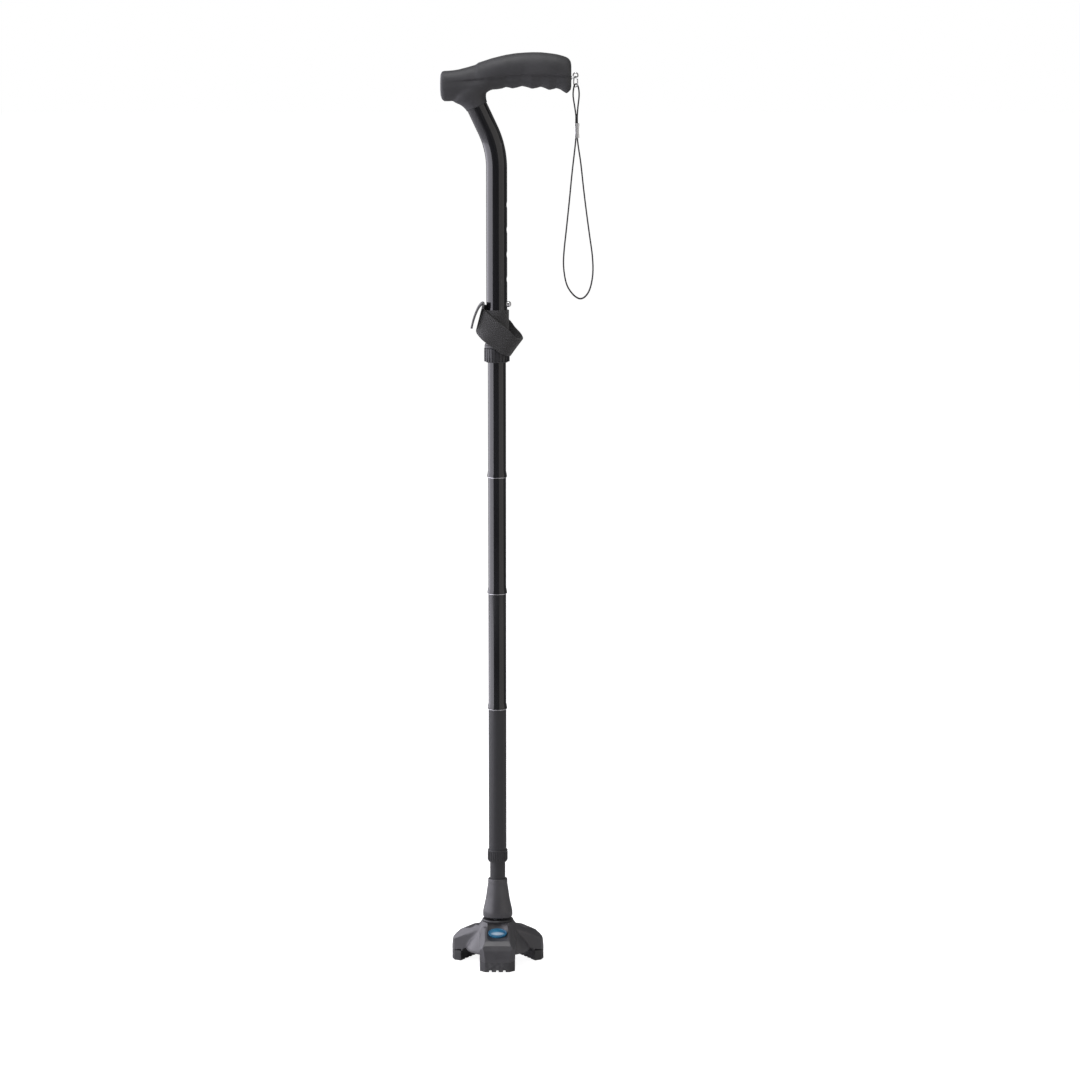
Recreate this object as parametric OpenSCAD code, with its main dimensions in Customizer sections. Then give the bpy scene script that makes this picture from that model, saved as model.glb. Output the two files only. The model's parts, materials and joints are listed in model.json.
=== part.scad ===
// Folding walking cane with a T handle, a height-adjustable four-section shaft and a
// three-footed base that tilts and turns under the shaft.
// Millimetres, +Z up. The origin is on the ground, on the axis of the straight shaft.
// The handle's grip points along +X and the front foot along -Y.

/* [Shaft] */
// Outside diameter of the bent upper tube
upper_od = 21.5; // [21.3:0.1:21.7]
// Outside diameter of the four folding tubes
shaft_od = 18.6; // [18.5:0.05:18.7]
// Outside diameter of the stem that carries the foot
stem_od = 16; // [15.9:0.05:16]
// Wall of every tube
wall = 1.2; // [1.1:0.05:1.25]
// Height of the uppermost fold above the ground
fold_top_z = 513; // [508:1:516]
// Length of one middle section of the folding shaft
section_len = 121.5; // [118:0.5:124]

/* [Height adjustment] */
// Height of the snap button at the cane's longest setting
button_z = 691.3; // [688:0.1:694]
// Spacing of the holes in the upper tube
hole_pitch = 25.4; // [24:0.1:25.4]
// Number of holes in the upper tube
hole_count = 5; // [3:1:5]

/* [Handle] */
// Lean of the upper tube's bent end, from the vertical
neck_lean = 25.3; // [24:0.1:26]
// Height at which the bent end's axis meets the shaft's axis
bend_z = 850.7; // [850:0.1:852]
// Widest part of the grip, across the palm
grip_w = 33; // [30:0.5:35]

/* [Foot] */
// Distance from the shaft's axis to the outer face of each foot
foot_reach = 48.3; // [46:0.1:50]
// Width of each foot
foot_w = 37; // [34:0.5:38]
// Height of each rubber tread
tread_h = 10.5; // [9:0.5:11]
// Height of the centre that the foot tilts about
pivot_z = 35; // [35:0.1:35.5]

/* [Hidden] */
$fn = 64;

fit = 0.08;            // radial clearance of a running fit
gap = 0.4;             // clearance between parts that pass each other
upper_r = upper_od / 2;
shaft_r = shaft_od / 2;
stem_r = stem_od / 2;
bore_r = shaft_r - wall;
upper_end_z = 640.4;   // lower end of the upper tube
bend_r = 90;
bend_tangent = bend_r * tan(neck_lean / 2);
neck_len = 66;         // from the bend to the tube's end inside the grip
rim_len = 46.3;        // from the bend to the grip's neck rim
joint_lap = 0.05;      // lap of the straight ends over the bend's arc
button_r = 3.1;
bell_r = 10.25;        // outside of a section's belled lower end
bell_h = 6;
nose_h = 15;           // part of a fold plug that enters the bell
nose_root_r = 8;
nose_tip_r = 6.2;
cord_r = 2;
section_1_top = button_z + 24;
foot_angles = [-90, 30, 150];   // front, back right, back left
ball_r = 8;            // ball at the stud's lower end
liner_r = 10;          // outside of the ball's liner
stud_r = 4;
cover_screw_r = 1.2;
core_z = 922;          // height of the rigid core inside the grip
screw_r = 1.1;         // shank of the screw eye
pin_at = 58;           // the handle's cross pin, along the lean from the bend
eye_pos = [80.6, 0, 924.6];
eye_r = 2.4;
ring_r = 5.4;
ring_pos = [80.6, 0, 918];
strap_lean = 34.9;     // slope of the wrapped strap
strap_z = 660;         // where the wrapped strap crosses the shaft's axis
belt_r = 16.5;         // outside of the wrapped strap round its two posts

// Joint planes of the three folds, from the top down
function fold_z(i) = fold_top_z - section_len * i;

// ---- helpers -----------------------------------------------------------------------

// Places children along the leaning end of the upper tube
module on_neck(along) {
    translate([0, 0, bend_z]) rotate([0, -neck_lean, 0]) translate([0, 0, along]) children();
}

// A rod that follows the upper tube's bent axis, from height low to along the lean
module bent_rod(r, low, along) {
    arc_z = bend_z - bend_tangent;
    translate([0, 0, low]) cylinder(r = r, h = arc_z - low + joint_lap);
    translate([-bend_r, 0, arc_z]) rotate([90, 0, 0])
        rotate_extrude(angle = neck_lean) translate([bend_r, 0]) circle(r = r);
    on_neck(bend_tangent - joint_lap) cylinder(r = r, h = along - bend_tangent + joint_lap);
}

// A tube between two heights
module pipe(r_out, r_in, low, high) {
    rotate_extrude() translate([r_in, low]) square([r_out - r_in, high - low]);
}

// A closed skin over equal rings of points
module skin(rings) {
    n = len(rings[0]);
    m = len(rings);
    polyhedron(
        points = [for (ring = rings) each ring],
        faces = concat(
            [[for (k = [n - 1:-1:0]) k]],
            [[for (k = [0:n - 1]) (m - 1) * n + k]],
            [for (i = [0:m - 2], k = [0:n - 1])
                [i * n + k, i * n + (k + 1) % n, (i + 1) * n + (k + 1) % n, (i + 1) * n + k]]
        ),
        convexity = 6);
}

// A ring of upright ribs around a collar
module ribs(r, depth, low, high, count, width) {
    for (i = [0:count - 1]) rotate(360 / count * i)
        translate([r - 0.2, -width / 2, low]) cube([depth + 0.2, width, high - low]);
}

// ---- handle ------------------------------------------------------------------------

// Stations along the grip: x, underside, top, share of the full width
GRIP = [
    [-57.4, 906, 922, 0.55], [-56, 900, 928, 0.72], [-52, 898.2, 929.1, 0.78],
    [-44, 898.6, 929.6, 0.8], [-32, 899, 932.2, 0.86], [-19, 900, 937, 0.93],
    [-6, 906.8, 941.4, 0.98], [9.7, 911.4, 945.2, 1], [16.3, 911, 946.4, 1],
    [26, 912.6, 947.4, 1], [36.2, 911, 947.9, 1], [45.3, 912.3, 947.8, 0.98],
    [53.5, 910.4, 947, 0.96], [61.1, 911.3, 945.9, 0.93], [70, 908, 943.4, 0.89],
    [74.4, 909, 940, 0.8], [75.8, 913, 935, 0.6]
];
// An egg-shaped section: broad across the palm, narrow under the fingers
function grip_ring(s) =
    let (mid = s[1] + 0.52 * (s[2] - s[1]), side = grip_w / 2 * s[3])
    [for (k = [0:31]) let (a = -360 / 32 * k, c = cos(a), v = sin(a))
        [s[0],
         side * sign(c) * pow(abs(c), 0.8) * (v < 0 ? 1 + 0.28 * v : 1),
         v > 0 ? mid + (s[2] - mid) * pow(v, 0.8) : mid + (mid - s[1]) * -pow(-v, 0.8)]];

module core_bar() {
    hull() for (x = [-46, 62]) translate([x, 0, core_z]) rotate([90, 0, 0])
        cylinder(r = 5, h = 13, center = true, $fn = 32);
}

module handle_grip() color("#3f4144") difference() {
    union() {
        skin([for (s = GRIP) grip_ring(s)]);
        hull() {
            on_neck(rim_len) cylinder(r = upper_r + 0.6, h = 1, $fn = 32);
            translate([-26, 0, 908]) scale([18, 11, 6]) sphere(r = 1, $fn = 32);
        }
    }
    on_neck(rim_len - 2) cylinder(r = upper_r, h = neck_len - rim_len + 2);
    core_bar();
    on_neck(neck_len - 1) cylinder(r = upper_r - wall, h = 12);
    translate([60, 0, core_z]) rotate([0, 90, 0]) cylinder(r = screw_r, h = 20);
}

module handle_core() color("#5b5d60") difference() {
    union() {
        core_bar();
        on_neck(rim_len - 4) cylinder(r = upper_r - wall, h = neck_len - rim_len + 12);
    }
    translate([56, 0, core_z]) rotate([0, 90, 0]) cylinder(r = screw_r, h = 20);
    on_neck(pin_at) rotate([90, 0, 0]) cylinder(r = 2, h = 40, center = true);
}

module handle_pin() color("silver") intersection() {
    on_neck(pin_at) rotate([90, 0, 0]) cylinder(r = 2, h = 18.4, center = true);
    on_neck(40) cylinder(r = upper_r - wall, h = 40);
}

// ---- wrist strap -------------------------------------------------------------------

module strap_eyelet() color("silver") union() {
    translate(eye_pos) rotate([90, 0, 0])
        rotate_extrude() translate([eye_r, 0]) circle(r = 0.7, $fn = 24);
    translate([57, 0, core_z]) rotate([0, 90, 0]) cylinder(r = screw_r, h = 21.3);
    translate([76, 0, core_z]) rotate([0, 90, 0]) cylinder(r = 2.2, h = 0.8);
}

module split_ring() color("silver")
    translate(ring_pos) rotate([0, 0, 20]) rotate([0, 90, 0])
        rotate_extrude() translate([ring_r, 0]) circle(r = 0.55, $fn = 24);

// The strap's centre line: up from the crimp, through the ring, down and round the loop
STRAP = [
    [80.9, 0, 871], [80.9, 0, 877], [80.9, 0, 884], [79.6, 0, 893], [78.1, 0, 903],
    [78.3, 0, 909.5], [79.3, 0, 914.3], [81, 0, 915.8], [82.7, 0, 914.3], [83.9, 0, 909.5],
    [84.1, 0, 903], [83, 0, 893],
    [82.3, 0, 884], [82.3, 0, 877], [82.3, 0, 868], [82.5, 0, 860], [83.6, 0, 851],
    [86, 0, 835], [89, 0, 808], [92, 0, 784], [95, 0, 762], [98, 0, 740], [98.4, 0, 722],
    [95.5, 0, 707], [90.5, 0, 699], [84.5, 0, 697], [77.5, 0, 702], [71.5, 0, 712],
    [68.6, 0, 728], [68.8, 0, 744], [71.5, 0, 770], [74.4, 0, 798], [77, 0, 825],
    [79.4, 0, 846], [80.7, 0, 858], [80.9, 0, 864]
];
// One ring of the sweep, square to the route in the plane of the loop
function strap_ring(i) =
    let (a = STRAP[max(i - 1, 0)], b = STRAP[min(i + 1, len(STRAP) - 1)], d = b - a,
         u = d / norm(d), side = [-u[2], 0, u[0]])
    [for (k = [0:7]) STRAP[i] + 0.6 * cos(45 * k) * side + [0, 2 * sin(45 * k), 0]];

module wrist_strap() color("#1c1c1e") skin([for (i = [0:len(STRAP) - 1]) strap_ring(i)]);

module strap_crimp() color("silver") difference() {
    translate([78.9, -2.9, 861]) cube([5.4, 5.8, 15]);
    translate([79.7, -2.2, 860]) cube([3.8, 4.4, 17]);
}

// ---- upper tube, lock nut and strap ------------------------------------------------

module upper_tube() color("#1b1b1e") difference() {
    bent_rod(upper_r, upper_end_z, neck_len);
    bent_rod(upper_r - wall, upper_end_z - 1, neck_len + 1);
    for (i = [0:hole_count - 1]) translate([0, 0, button_z + hole_pitch * i])
        rotate([0, 90, 0]) cylinder(r = button_r + 0.4, h = upper_r + 1);
}

module threaded_bushing() color("#3a3a3c") difference() {
    union() {
        pipe(12.2, upper_r, 634, 651);
        translate([0, 0, 646.4]) pipe(12.7, upper_r, 0, 3);
    }
    translate([-1, -14, 633]) cube([2, 5, 8]);
}

module upper_collet() color("#d8d8d2") difference() {
    pipe(10.6, shaft_r + fit, 633, 640);
    translate([-0.8, -12, 632]) cube([1.6, 12, 9]);
}

module upper_lock_nut() color("#39393b") union() {
    rotate_extrude() polygon([
        [12.2 + fit, 646], [12.7, 646], [12.7, 633.4], [11.6, 631.6], [shaft_r + gap, 631.6],
        [shaft_r + gap, 632.6], [12.2 + fit, 632.6]]);
    ribs(12.7, 0.5, 634, 645.6, 24, 1.6);
}

// A belt around two posts, as wide as the webbing
module belt(r, wide) {
    hull() for (x = [-5.8, 9.1]) translate([x, 0, 0])
        cylinder(r = r, h = wide, center = true, $fn = 48);
}

module fold_strap() color("#2b2b2d") difference() {
    union() {
        pipe(12.6, upper_r + 0.1, 664.6, 685.4);
        translate([0, 0, strap_z]) rotate([0, strap_lean, 0]) difference() {
            belt(belt_r, 25);
            belt(belt_r - 1.8, 27);
        }
    }
    cylinder(r = upper_r + 0.1, h = 700);
    translate([0, 0, 628]) cylinder(r = 13.6, h = 24);
}

// The strap's free end, lying against the outside of the belt
module strap_hook_tab() color("#6d6d70") difference() {
    translate([0, 0, strap_z]) rotate([0, strap_lean, 0]) difference() {
        translate([-24.4, -12.5, -12]) cube([2.4, 25, 20]);
        belt(belt_r + 0.02, 70);
    }
    cylinder(r = 12.7, h = 700);
}

// ---- snap button -------------------------------------------------------------------

module snap_button() color("silver") translate([0, 0, button_z]) rotate([0, 90, 0]) union() {
    translate([0, 0, 6.4]) cylinder(r = button_r - 0.1, h = 6.6);
    translate([0, 0, 13]) rotate_extrude() intersection() {
        translate([0, -1.6]) circle(r = 3.4);
        square([3, 3]);
    }
    translate([0, 0, 5.6]) cylinder(r = 4.4, h = 0.8);
}

// A narrow leaf bent into a V, its free leg behind the button
module snap_spring() color("#9a9a9c") rotate([90, 0, 0]) translate([0, 0, -3])
    linear_extrude(6) polygon([
        [5.4, button_z + 6], [5.4, button_z - 6], [1, button_z - 38], [-1, button_z - 38],
        [-6.6, button_z + 6], [-6, button_z + 6], [-0.6, button_z - 36.6],
        [0.6, button_z - 36.6], [4.8, button_z - 5.8], [4.8, button_z + 6]]);

// ---- folding shaft -----------------------------------------------------------------

// A straight tube whose lower end opens into a bell
module belled_tube(low, high) {
    rotate_extrude() polygon([
        [bore_r, high], [shaft_r, high], [shaft_r, low + bell_h], [bell_r, low + 0.8],
        [bell_r, low], [bell_r - wall, low], [bore_r, low + bell_h]]);
}

module shaft_section_1() color("#1b1b1e") difference() {
    belled_tube(fold_z(0), section_1_top);
    translate([0, 0, button_z]) rotate([0, 90, 0]) cylinder(r = button_r, h = upper_r);
}
module shaft_section_2() color("#1b1b1e") belled_tube(fold_z(1), fold_z(0) - 1.1);
module shaft_section_3() color("#1b1b1e") belled_tube(fold_z(2), fold_z(1) - 1.1);
module shaft_section_4() color("#1b1b1e") pipe(shaft_r, bore_r, 112, fold_z(2) - 1.1);

// A turned plug: spigot in the tube below, flange, and the nose that enters the bell
module fold_plug(i) color("#8d8d90") translate([0, 0, fold_z(i)]) rotate_extrude() polygon([
    [cord_r + 0.8, nose_h], [nose_tip_r - 0.6, nose_h], [nose_tip_r, nose_h - 0.8],
    [nose_root_r, 0], [nose_root_r, -0.1], [9.6, -0.1], [9.6, -1.1], [bore_r, -1.1],
    [bore_r, -22], [cord_r + 0.8, -22]]);

module elastic_cord(low, high) color("#e8e4da")
    translate([0, 0, low]) cylinder(r = cord_r, h = high - low, $fn = 24);
module elastic_cord_1() elastic_cord(fold_z(0) + nose_h + 0.6, 560);
module elastic_cord_2() elastic_cord(fold_z(1) + nose_h + 0.6, fold_z(0) + nose_h);
module elastic_cord_3() elastic_cord(fold_z(2) + nose_h + 0.6, fold_z(1) + nose_h);
module elastic_cord_4() elastic_cord(166, fold_z(2) + nose_h);

module cord_anchor_top() color("#d8d8d2") union() {
    pipe(bore_r, cord_r, 552, 558);
    translate([0, 0, 560]) cylinder(r = 3.4, h = 5);
}
module cord_anchor_bottom() color("#d8d8d2") union() {
    pipe(bore_r, cord_r, 167, 173);
    translate([0, 0, 161]) cylinder(r = 3.4, h = 5);
}

// ---- stem and cone -----------------------------------------------------------------

module lower_lock_ring() color("#39393b") union() {
    rotate_extrude() polygon([
        [shaft_r + fit, 120.2], [10.4, 120.2], [10.4, 118.4], [10.1, 118], [10.1, 109],
        [9.4, 107.4], [stem_r + fit, 107.4], [stem_r + fit, 108.6], [shaft_r + fit, 108.6]]);
    ribs(10.1, 0.35, 109.6, 117.4, 30, 1);
}
module lower_collet() color("#d8d8d2") difference() {
    pipe(shaft_r, stem_r, 108.8, 111.8);
    translate([-0.6, -11, 108]) cube([1.2, 11, 5]);
}
module stem_tube() color("#3c3c3f") pipe(stem_r, stem_r - wall, 62, 150);
module stem_bush() color("#d8d8d2") pipe(stem_r - wall, stud_r + fit, 62, 84);

module foot_cone() color("#2f3032") difference() {
    rotate_extrude() polygon([
        [0, 89.2], [9.6, 89.2], [10.2, 88.6], [10.2, 83.8], [11.1, 78.4], [12.3, 69.8],
        [13.1, 65.4], [14.1, 60.6], [15, 56.6], [15.45, 54.2], [15.45, 49.4], [15.1, 48.9],
        [0, 48.9]]);
    translate([0, 0, 62]) cylinder(r = stem_r, h = 30);
    translate([0, 0, 50]) cylinder(r = 6.6, h = 14);
    translate([0, 0, pivot_z]) sphere(r = 19.5);
}

module ball_stud() color("silver") union() {
    translate([0, 0, pivot_z]) sphere(r = ball_r);
    translate([0, 0, pivot_z + 6]) cylinder(r = stud_r, h = 52);
    translate([0, 0, 59.6]) cylinder(r = 6.2, h = 2);
}
module stud_clip() color("#9a9a9c") pipe(6.2, stud_r, 84.4, 86);

module ball_liner() color("#e8e8e2") difference() {
    translate([0, 0, pivot_z]) sphere(r = liner_r);
    translate([0, 0, pivot_z]) sphere(r = ball_r + fit);
    translate([-15, -15, pivot_z + 5]) cube([30, 30, 20]);
}

module retaining_ring() color("#3c3c3f") rotate_extrude() polygon([
    [7.6, 46.4], [15.5, 46.4], [16.1, 45.7], [16.4, 45.1], [15.8, 44.4], [12.6, 44.4],
    [12.6, 42.6], [7.6, 42.6]]);

// ---- hub and feet ------------------------------------------------------------------

// Plan of one leg, pointing along +X, with cut outer corners
module leg_plan(low, high) {
    translate([0, 0, low]) linear_extrude(high - low) polygon([
        [0, foot_w / 2], [foot_reach - 6, foot_w / 2], [foot_reach, foot_w / 2 - 5.6],
        [foot_reach, 5.6 - foot_w / 2], [foot_reach - 6, -foot_w / 2], [0, -foot_w / 2]]);
}
// Side view of one leg: crest, knee and arched underside
module leg() intersection() {
    leg_plan(tread_h, 44);
    rotate([90, 0, 0]) linear_extrude(foot_w, center = true) polygon([
        [0, 40], [19.3, 40], [22, 38], [31, 34], [39, 30.4], [43.5, 26.6], [46.6, 21.5],
        [foot_reach, 14], [foot_reach, tread_h], [34.3, tread_h], [34.3, 12.6], [31, 16],
        [25, 18.6], [16, 20], [0, 20]]);
}

module foot_hub() color("#37383b") difference() {
    union() {
        for (a = foot_angles) rotate(a) leg();
        // the skirt that webs the legs together
        rotate_extrude() polygon([
            [0, 20], [18, 20], [26, 17], [31.5, 12.8], [33.4, 13.8], [33.2, 16.5],
            [30.5, 21.5], [26.5, 27.5], [22.5, 34.5], [19.3, 40.6], [17.8, 42.6],
            [16.8, 44.2], [0, 44.2]]);
    }
    translate([0, 0, 42.4]) cylinder(r = 12.8, h = 3);
    translate([0, 0, pivot_z]) sphere(r = liner_r + fit);
    translate([0, 0, pivot_z]) cylinder(r = liner_r + fit, h = 9);
    translate([0, 0, 18]) cylinder(r = 15.2, h = 4.2);
    for (a = foot_angles) rotate(a) translate([12, 0, 20]) cylinder(r = cover_screw_r, h = 8);
    badge_space();
}

module tread(a) color("#232426") rotate(a) difference() {
    intersection() {
        leg_plan(0, tread_h);
        translate([34.3, -30, -1]) cube([20, 60, 20]);
    }
    for (y = [-7.2, 0, 7.2]) translate([30, y - 1.3, -1]) cube([25, 2.6, 2.8]);
}
module tread_front() tread(foot_angles[0]);
module tread_back_right() tread(foot_angles[1]);
module tread_back_left() tread(foot_angles[2]);

// A plain oval plate on the sloping crest of the front leg
module badge_space() rotate(foot_angles[0])
    translate([26.5, 0, 36]) rotate([0, 24, 0]) scale([7.6, 10, 1]) cylinder(r = 1, h = 1.3);
module badge_plate() color("#2f7fa3") badge_space();

module hub_cover() color("#2a2a2c") difference() {
    translate([0, 0, 20.2]) cylinder(r = 15.1, h = 2);
    for (a = foot_angles) rotate(a) translate([12, 0, 19]) cylinder(r = cover_screw_r, h = 8);
}
module cover_screws() color("silver") for (a = foot_angles) rotate(a) translate([12, 0, 0]) {
    translate([0, 0, 19]) cylinder(r = 2.2, h = 1.2);
    translate([0, 0, 20]) cylinder(r = cover_screw_r, h = 7);
}

// ---- every node --------------------------------------------------------------------

handle_grip();
handle_core();
handle_pin();
strap_eyelet();
split_ring();
wrist_strap();
strap_crimp();
upper_tube();
threaded_bushing();
upper_collet();
upper_lock_nut();
fold_strap();
strap_hook_tab();
snap_button();
snap_spring();
shaft_section_1();
shaft_section_2();
shaft_section_3();
shaft_section_4();
fold_plug(0);  // fold_plug_2
fold_plug(1);  // fold_plug_3
fold_plug(2);  // fold_plug_4
elastic_cord_1();
elastic_cord_2();
elastic_cord_3();
elastic_cord_4();
cord_anchor_top();
cord_anchor_bottom();
lower_lock_ring();
lower_collet();
stem_tube();
stem_bush();
foot_cone();
ball_stud();
stud_clip();
ball_liner();
retaining_ring();
foot_hub();
tread_front();
tread_back_right();
tread_back_left();
badge_plate();
hub_cover();
cover_screws();
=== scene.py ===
# %% [markdown]
# # A folding walking cane
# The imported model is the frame: it says where every tube, collar and foot sits, in metres,
# with the shaft's axis on Z and the floor at zero. Everything here is fitted to it.

# %% Load the frame
import json
import math

import bmesh
import bpy
from mathutils import Matrix, Vector


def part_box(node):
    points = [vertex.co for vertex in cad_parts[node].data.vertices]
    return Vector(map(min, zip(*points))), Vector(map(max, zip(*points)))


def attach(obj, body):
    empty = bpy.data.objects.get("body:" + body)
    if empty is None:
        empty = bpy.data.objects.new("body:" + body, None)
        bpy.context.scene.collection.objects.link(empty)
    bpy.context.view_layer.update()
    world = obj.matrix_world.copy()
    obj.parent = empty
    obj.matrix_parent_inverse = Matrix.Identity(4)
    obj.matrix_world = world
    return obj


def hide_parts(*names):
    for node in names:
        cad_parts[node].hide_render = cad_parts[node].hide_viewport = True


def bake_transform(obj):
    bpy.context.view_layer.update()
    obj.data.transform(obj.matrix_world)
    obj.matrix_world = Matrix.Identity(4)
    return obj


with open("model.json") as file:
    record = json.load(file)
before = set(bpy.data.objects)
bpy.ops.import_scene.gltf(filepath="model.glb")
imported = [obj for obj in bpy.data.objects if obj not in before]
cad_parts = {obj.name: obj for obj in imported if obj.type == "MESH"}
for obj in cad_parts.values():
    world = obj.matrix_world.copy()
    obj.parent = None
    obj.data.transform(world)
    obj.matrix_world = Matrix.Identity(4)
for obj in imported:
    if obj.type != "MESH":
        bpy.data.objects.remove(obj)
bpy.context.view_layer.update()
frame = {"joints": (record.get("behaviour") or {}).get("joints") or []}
MM = 0.001

# %% [markdown]
# ## Camera, floor and light
# A long lens from four metres keeps the tall shaft straight. The camera looks down by eight
# degrees, so the tops of the feet show. Paper and sky read as white to the camera but stay
# dim in reflections, so that black tubes keep a dark middle between two walls of light.

# %% Camera
scene = bpy.context.scene
LOOK_AT = Vector((0.0443, 0, 0.4468))
DISTANCE = 4.0
PITCH = math.radians(8)
camera_data = bpy.data.cameras.new("camera")
camera_data.lens = 128.8
camera = bpy.data.objects.new("camera", camera_data)
camera.location = LOOK_AT + DISTANCE * Vector((0, -math.cos(PITCH), math.sin(PITCH)))
camera.rotation_euler = (math.pi / 2 - PITCH, 0, 0)
scene.collection.objects.link(camera)
scene.camera = camera


# %% Floor and soft boxes
def link_light(name, size, power, place, target, colour=(1, 1, 1)):
    """A rectangular soft box at a place, turned to face a target."""
    data = bpy.data.lights.new(name, "AREA")
    data.shape = "RECTANGLE"
    data.size, data.size_y = size
    data.energy = power
    data.color = colour
    light = bpy.data.objects.new(name, data)
    light.location = place
    aim = Vector(target) - Vector(place)
    light.rotation_euler = aim.to_track_quat("-Z", "Y").to_euler()
    scene.collection.objects.link(light)
    return light


def plain_material(name, colour, roughness):
    """A node material with one plain surface, for what isn't part of the object."""
    material = bpy.data.materials.new(name)
    material.use_nodes = True
    shader = material.node_tree.nodes["Principled BSDF"]
    shader.inputs["Base Color"].default_value = (*colour, 1)
    shader.inputs["Roughness"].default_value = roughness
    return material


def seen_white(tree, shader, strength):
    """Mixes plain white into a shader, for camera rays only."""
    path = tree.nodes.new("ShaderNodeLightPath")
    white = tree.nodes.new("ShaderNodeEmission")
    white.inputs["Strength"].default_value = strength
    mix = tree.nodes.new("ShaderNodeMixShader")
    tree.links.new(path.outputs["Is Camera Ray"], mix.inputs[0])
    tree.links.new(shader, mix.inputs[1])
    return white, mix


floor_mesh = bpy.data.meshes.new("floor")
bm = bmesh.new()
bmesh.ops.create_grid(bm, x_segments=1, y_segments=1, size=30)
bm.to_mesh(floor_mesh)
bm.free()
floor = bpy.data.objects.new("floor", floor_mesh)
floor.location.z = -0.0005
paper = plain_material("white paper", (0.6, 0.6, 0.6), 0.9)
tree = paper.node_tree
surface = tree.nodes["Principled BSDF"].outputs[0]
white, mix = seen_white(tree, surface, 0.9)
lit = tree.nodes.new("ShaderNodeAddShader")
tree.links.new(surface, lit.inputs[0])
tree.links.new(white.outputs[0], lit.inputs[1])
tree.links.new(lit.outputs[0], mix.inputs[2])
tree.links.new(mix.outputs[0], tree.nodes["Material Output"].inputs["Surface"])
floor_mesh.materials.append(paper)
scene.collection.objects.link(floor)

link_light("left wall of light", (4.8, 2.6), 112, (-2.2, 0.1, 0.95), (0, 0, 0.55),
           (0.93, 0.91, 1))
link_light("right wall of light", (3.0, 2.6), 14, (1.9, -1.2, 0.95), (0, 0, 0.55),
           (1, 0.95, 0.92))
link_light("top soft box", (1.6, 1.6), 32, (-0.3, -0.5, 2.9), (0, 0, 0.6))

world = bpy.data.worlds.new("studio")
scene.world = world
world.use_nodes = True
tree = world.node_tree
dim = tree.nodes["Background"]
dim.inputs["Color"].default_value = (1, 1, 1, 1)
dim.inputs["Strength"].default_value = 0.17
white, mix = seen_white(tree, dim.outputs[0], 1.0)
tree.links.new(white.outputs[0], mix.inputs[2])
tree.links.new(mix.outputs[0], tree.nodes["World Output"].inputs["Surface"])
scene.view_settings.view_transform = "Standard"
print("camera at", [round(v, 3) for v in camera.location])

# %% [markdown]
# ## The wrist strap's route
# The flat ribbon starts in the metal crimp, goes up through the split ring, back down through
# the crimp, and round the long loop. The points are the ones that its solid in the frame follows.

# %% Route
STRAP_ROUTE = [Vector((x, 0, z)) * MM for x, z in (
    (80.9, 871), (80.9, 877), (80.9, 884), (79.6, 893), (78.1, 903), (78.3, 909.5),
    (79.3, 914.3), (81, 915.8), (82.7, 914.3), (83.9, 909.5), (84.1, 903), (83, 893),
    (82.3, 884), (82.3, 877), (82.3, 868), (82.5, 860), (83.6, 851), (86, 835), (89, 808),
    (92, 784), (95, 762), (98, 740), (98.4, 722), (95.5, 707), (90.5, 699), (84.5, 697),
    (77.5, 702), (71.5, 712), (68.6, 728), (68.8, 744), (71.5, 770), (74.4, 798), (77, 825),
    (79.4, 846), (80.7, 858), (80.9, 864),
)]


def catmull(points, steps):
    """A smooth line through the points, with a few steps in each stretch."""
    padded = [points[0] * 2 - points[1], *points, points[-1] * 2 - points[-2]]
    line = []
    for a, b, c, d in zip(padded, padded[1:], padded[2:], padded[3:]):
        for k in range(steps):
            t = k / steps
            line.append(0.5 * (2 * b + (c - a) * t + (2 * a - 5 * b + 4 * c - d) * t * t
                               + (3 * b - a - 3 * c + d) * t ** 3))
    return [*line, points[-1].copy()]


strap_line = catmull(STRAP_ROUTE, 4)


# %% [markdown]
# ## Shared shader groups
# Three effects turn up on many finishes: a fine grain that breaks up a moulded surface, a
# worn look where edges face open air, and the crossing threads of woven tape. Each is one
# node group with named inputs, so that every material only sets its own numbers.

# %% Node-group helpers
def new_group(name, inputs, outputs):
    """An empty shader group with named sockets, and its two end nodes."""
    group = bpy.data.node_groups.new(name, "ShaderNodeTree")
    for label, kind, value in inputs:
        socket = group.interface.new_socket(label, in_out="INPUT", socket_type=kind)
        if value is not None:
            socket.default_value = value
    for label, kind in outputs:
        group.interface.new_socket(label, in_out="OUTPUT", socket_type=kind)
    start = group.nodes.new("NodeGroupInput")
    end = group.nodes.new("NodeGroupOutput")
    return group, start, end


def add(tree, kind, settings=None, **values):
    """A node with its properties and socket values set; a linked value is a socket."""
    node = tree.nodes.new("ShaderNode" + kind)
    for key, value in (settings or {}).items():
        setattr(node, key, value)
    for key, value in values.items():
        name = key.replace("_", " ")
        socket = node.inputs[int(key[1:])] if key[0] == "i" and key[1:].isdigit() \
            else node.inputs[name]
        if isinstance(value, bpy.types.NodeSocket):
            tree.links.new(value, socket)
        else:
            socket.default_value = value
    return node


def maths(tree, operation, first, second=0.0, clamp=False):
    """One maths node and its result."""
    node = add(tree, "Math", {"operation": operation, "use_clamp": clamp},
               i0=first, i1=second)
    return node.outputs[0]


def mix_colour(tree, factor, first, second):
    """Two colours mixed by a factor."""
    node = tree.nodes.new("ShaderNodeMix")
    node.data_type = "RGBA"
    for index, value in ((0, factor), (6, first), (7, second)):
        if isinstance(value, bpy.types.NodeSocket):
            tree.links.new(value, node.inputs[index])
        else:
            node.inputs[index].default_value = value
    return node.outputs[2]


# %% Moulded grain
FLOAT, VECTOR = "NodeSocketFloat", "NodeSocketVector"


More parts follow.
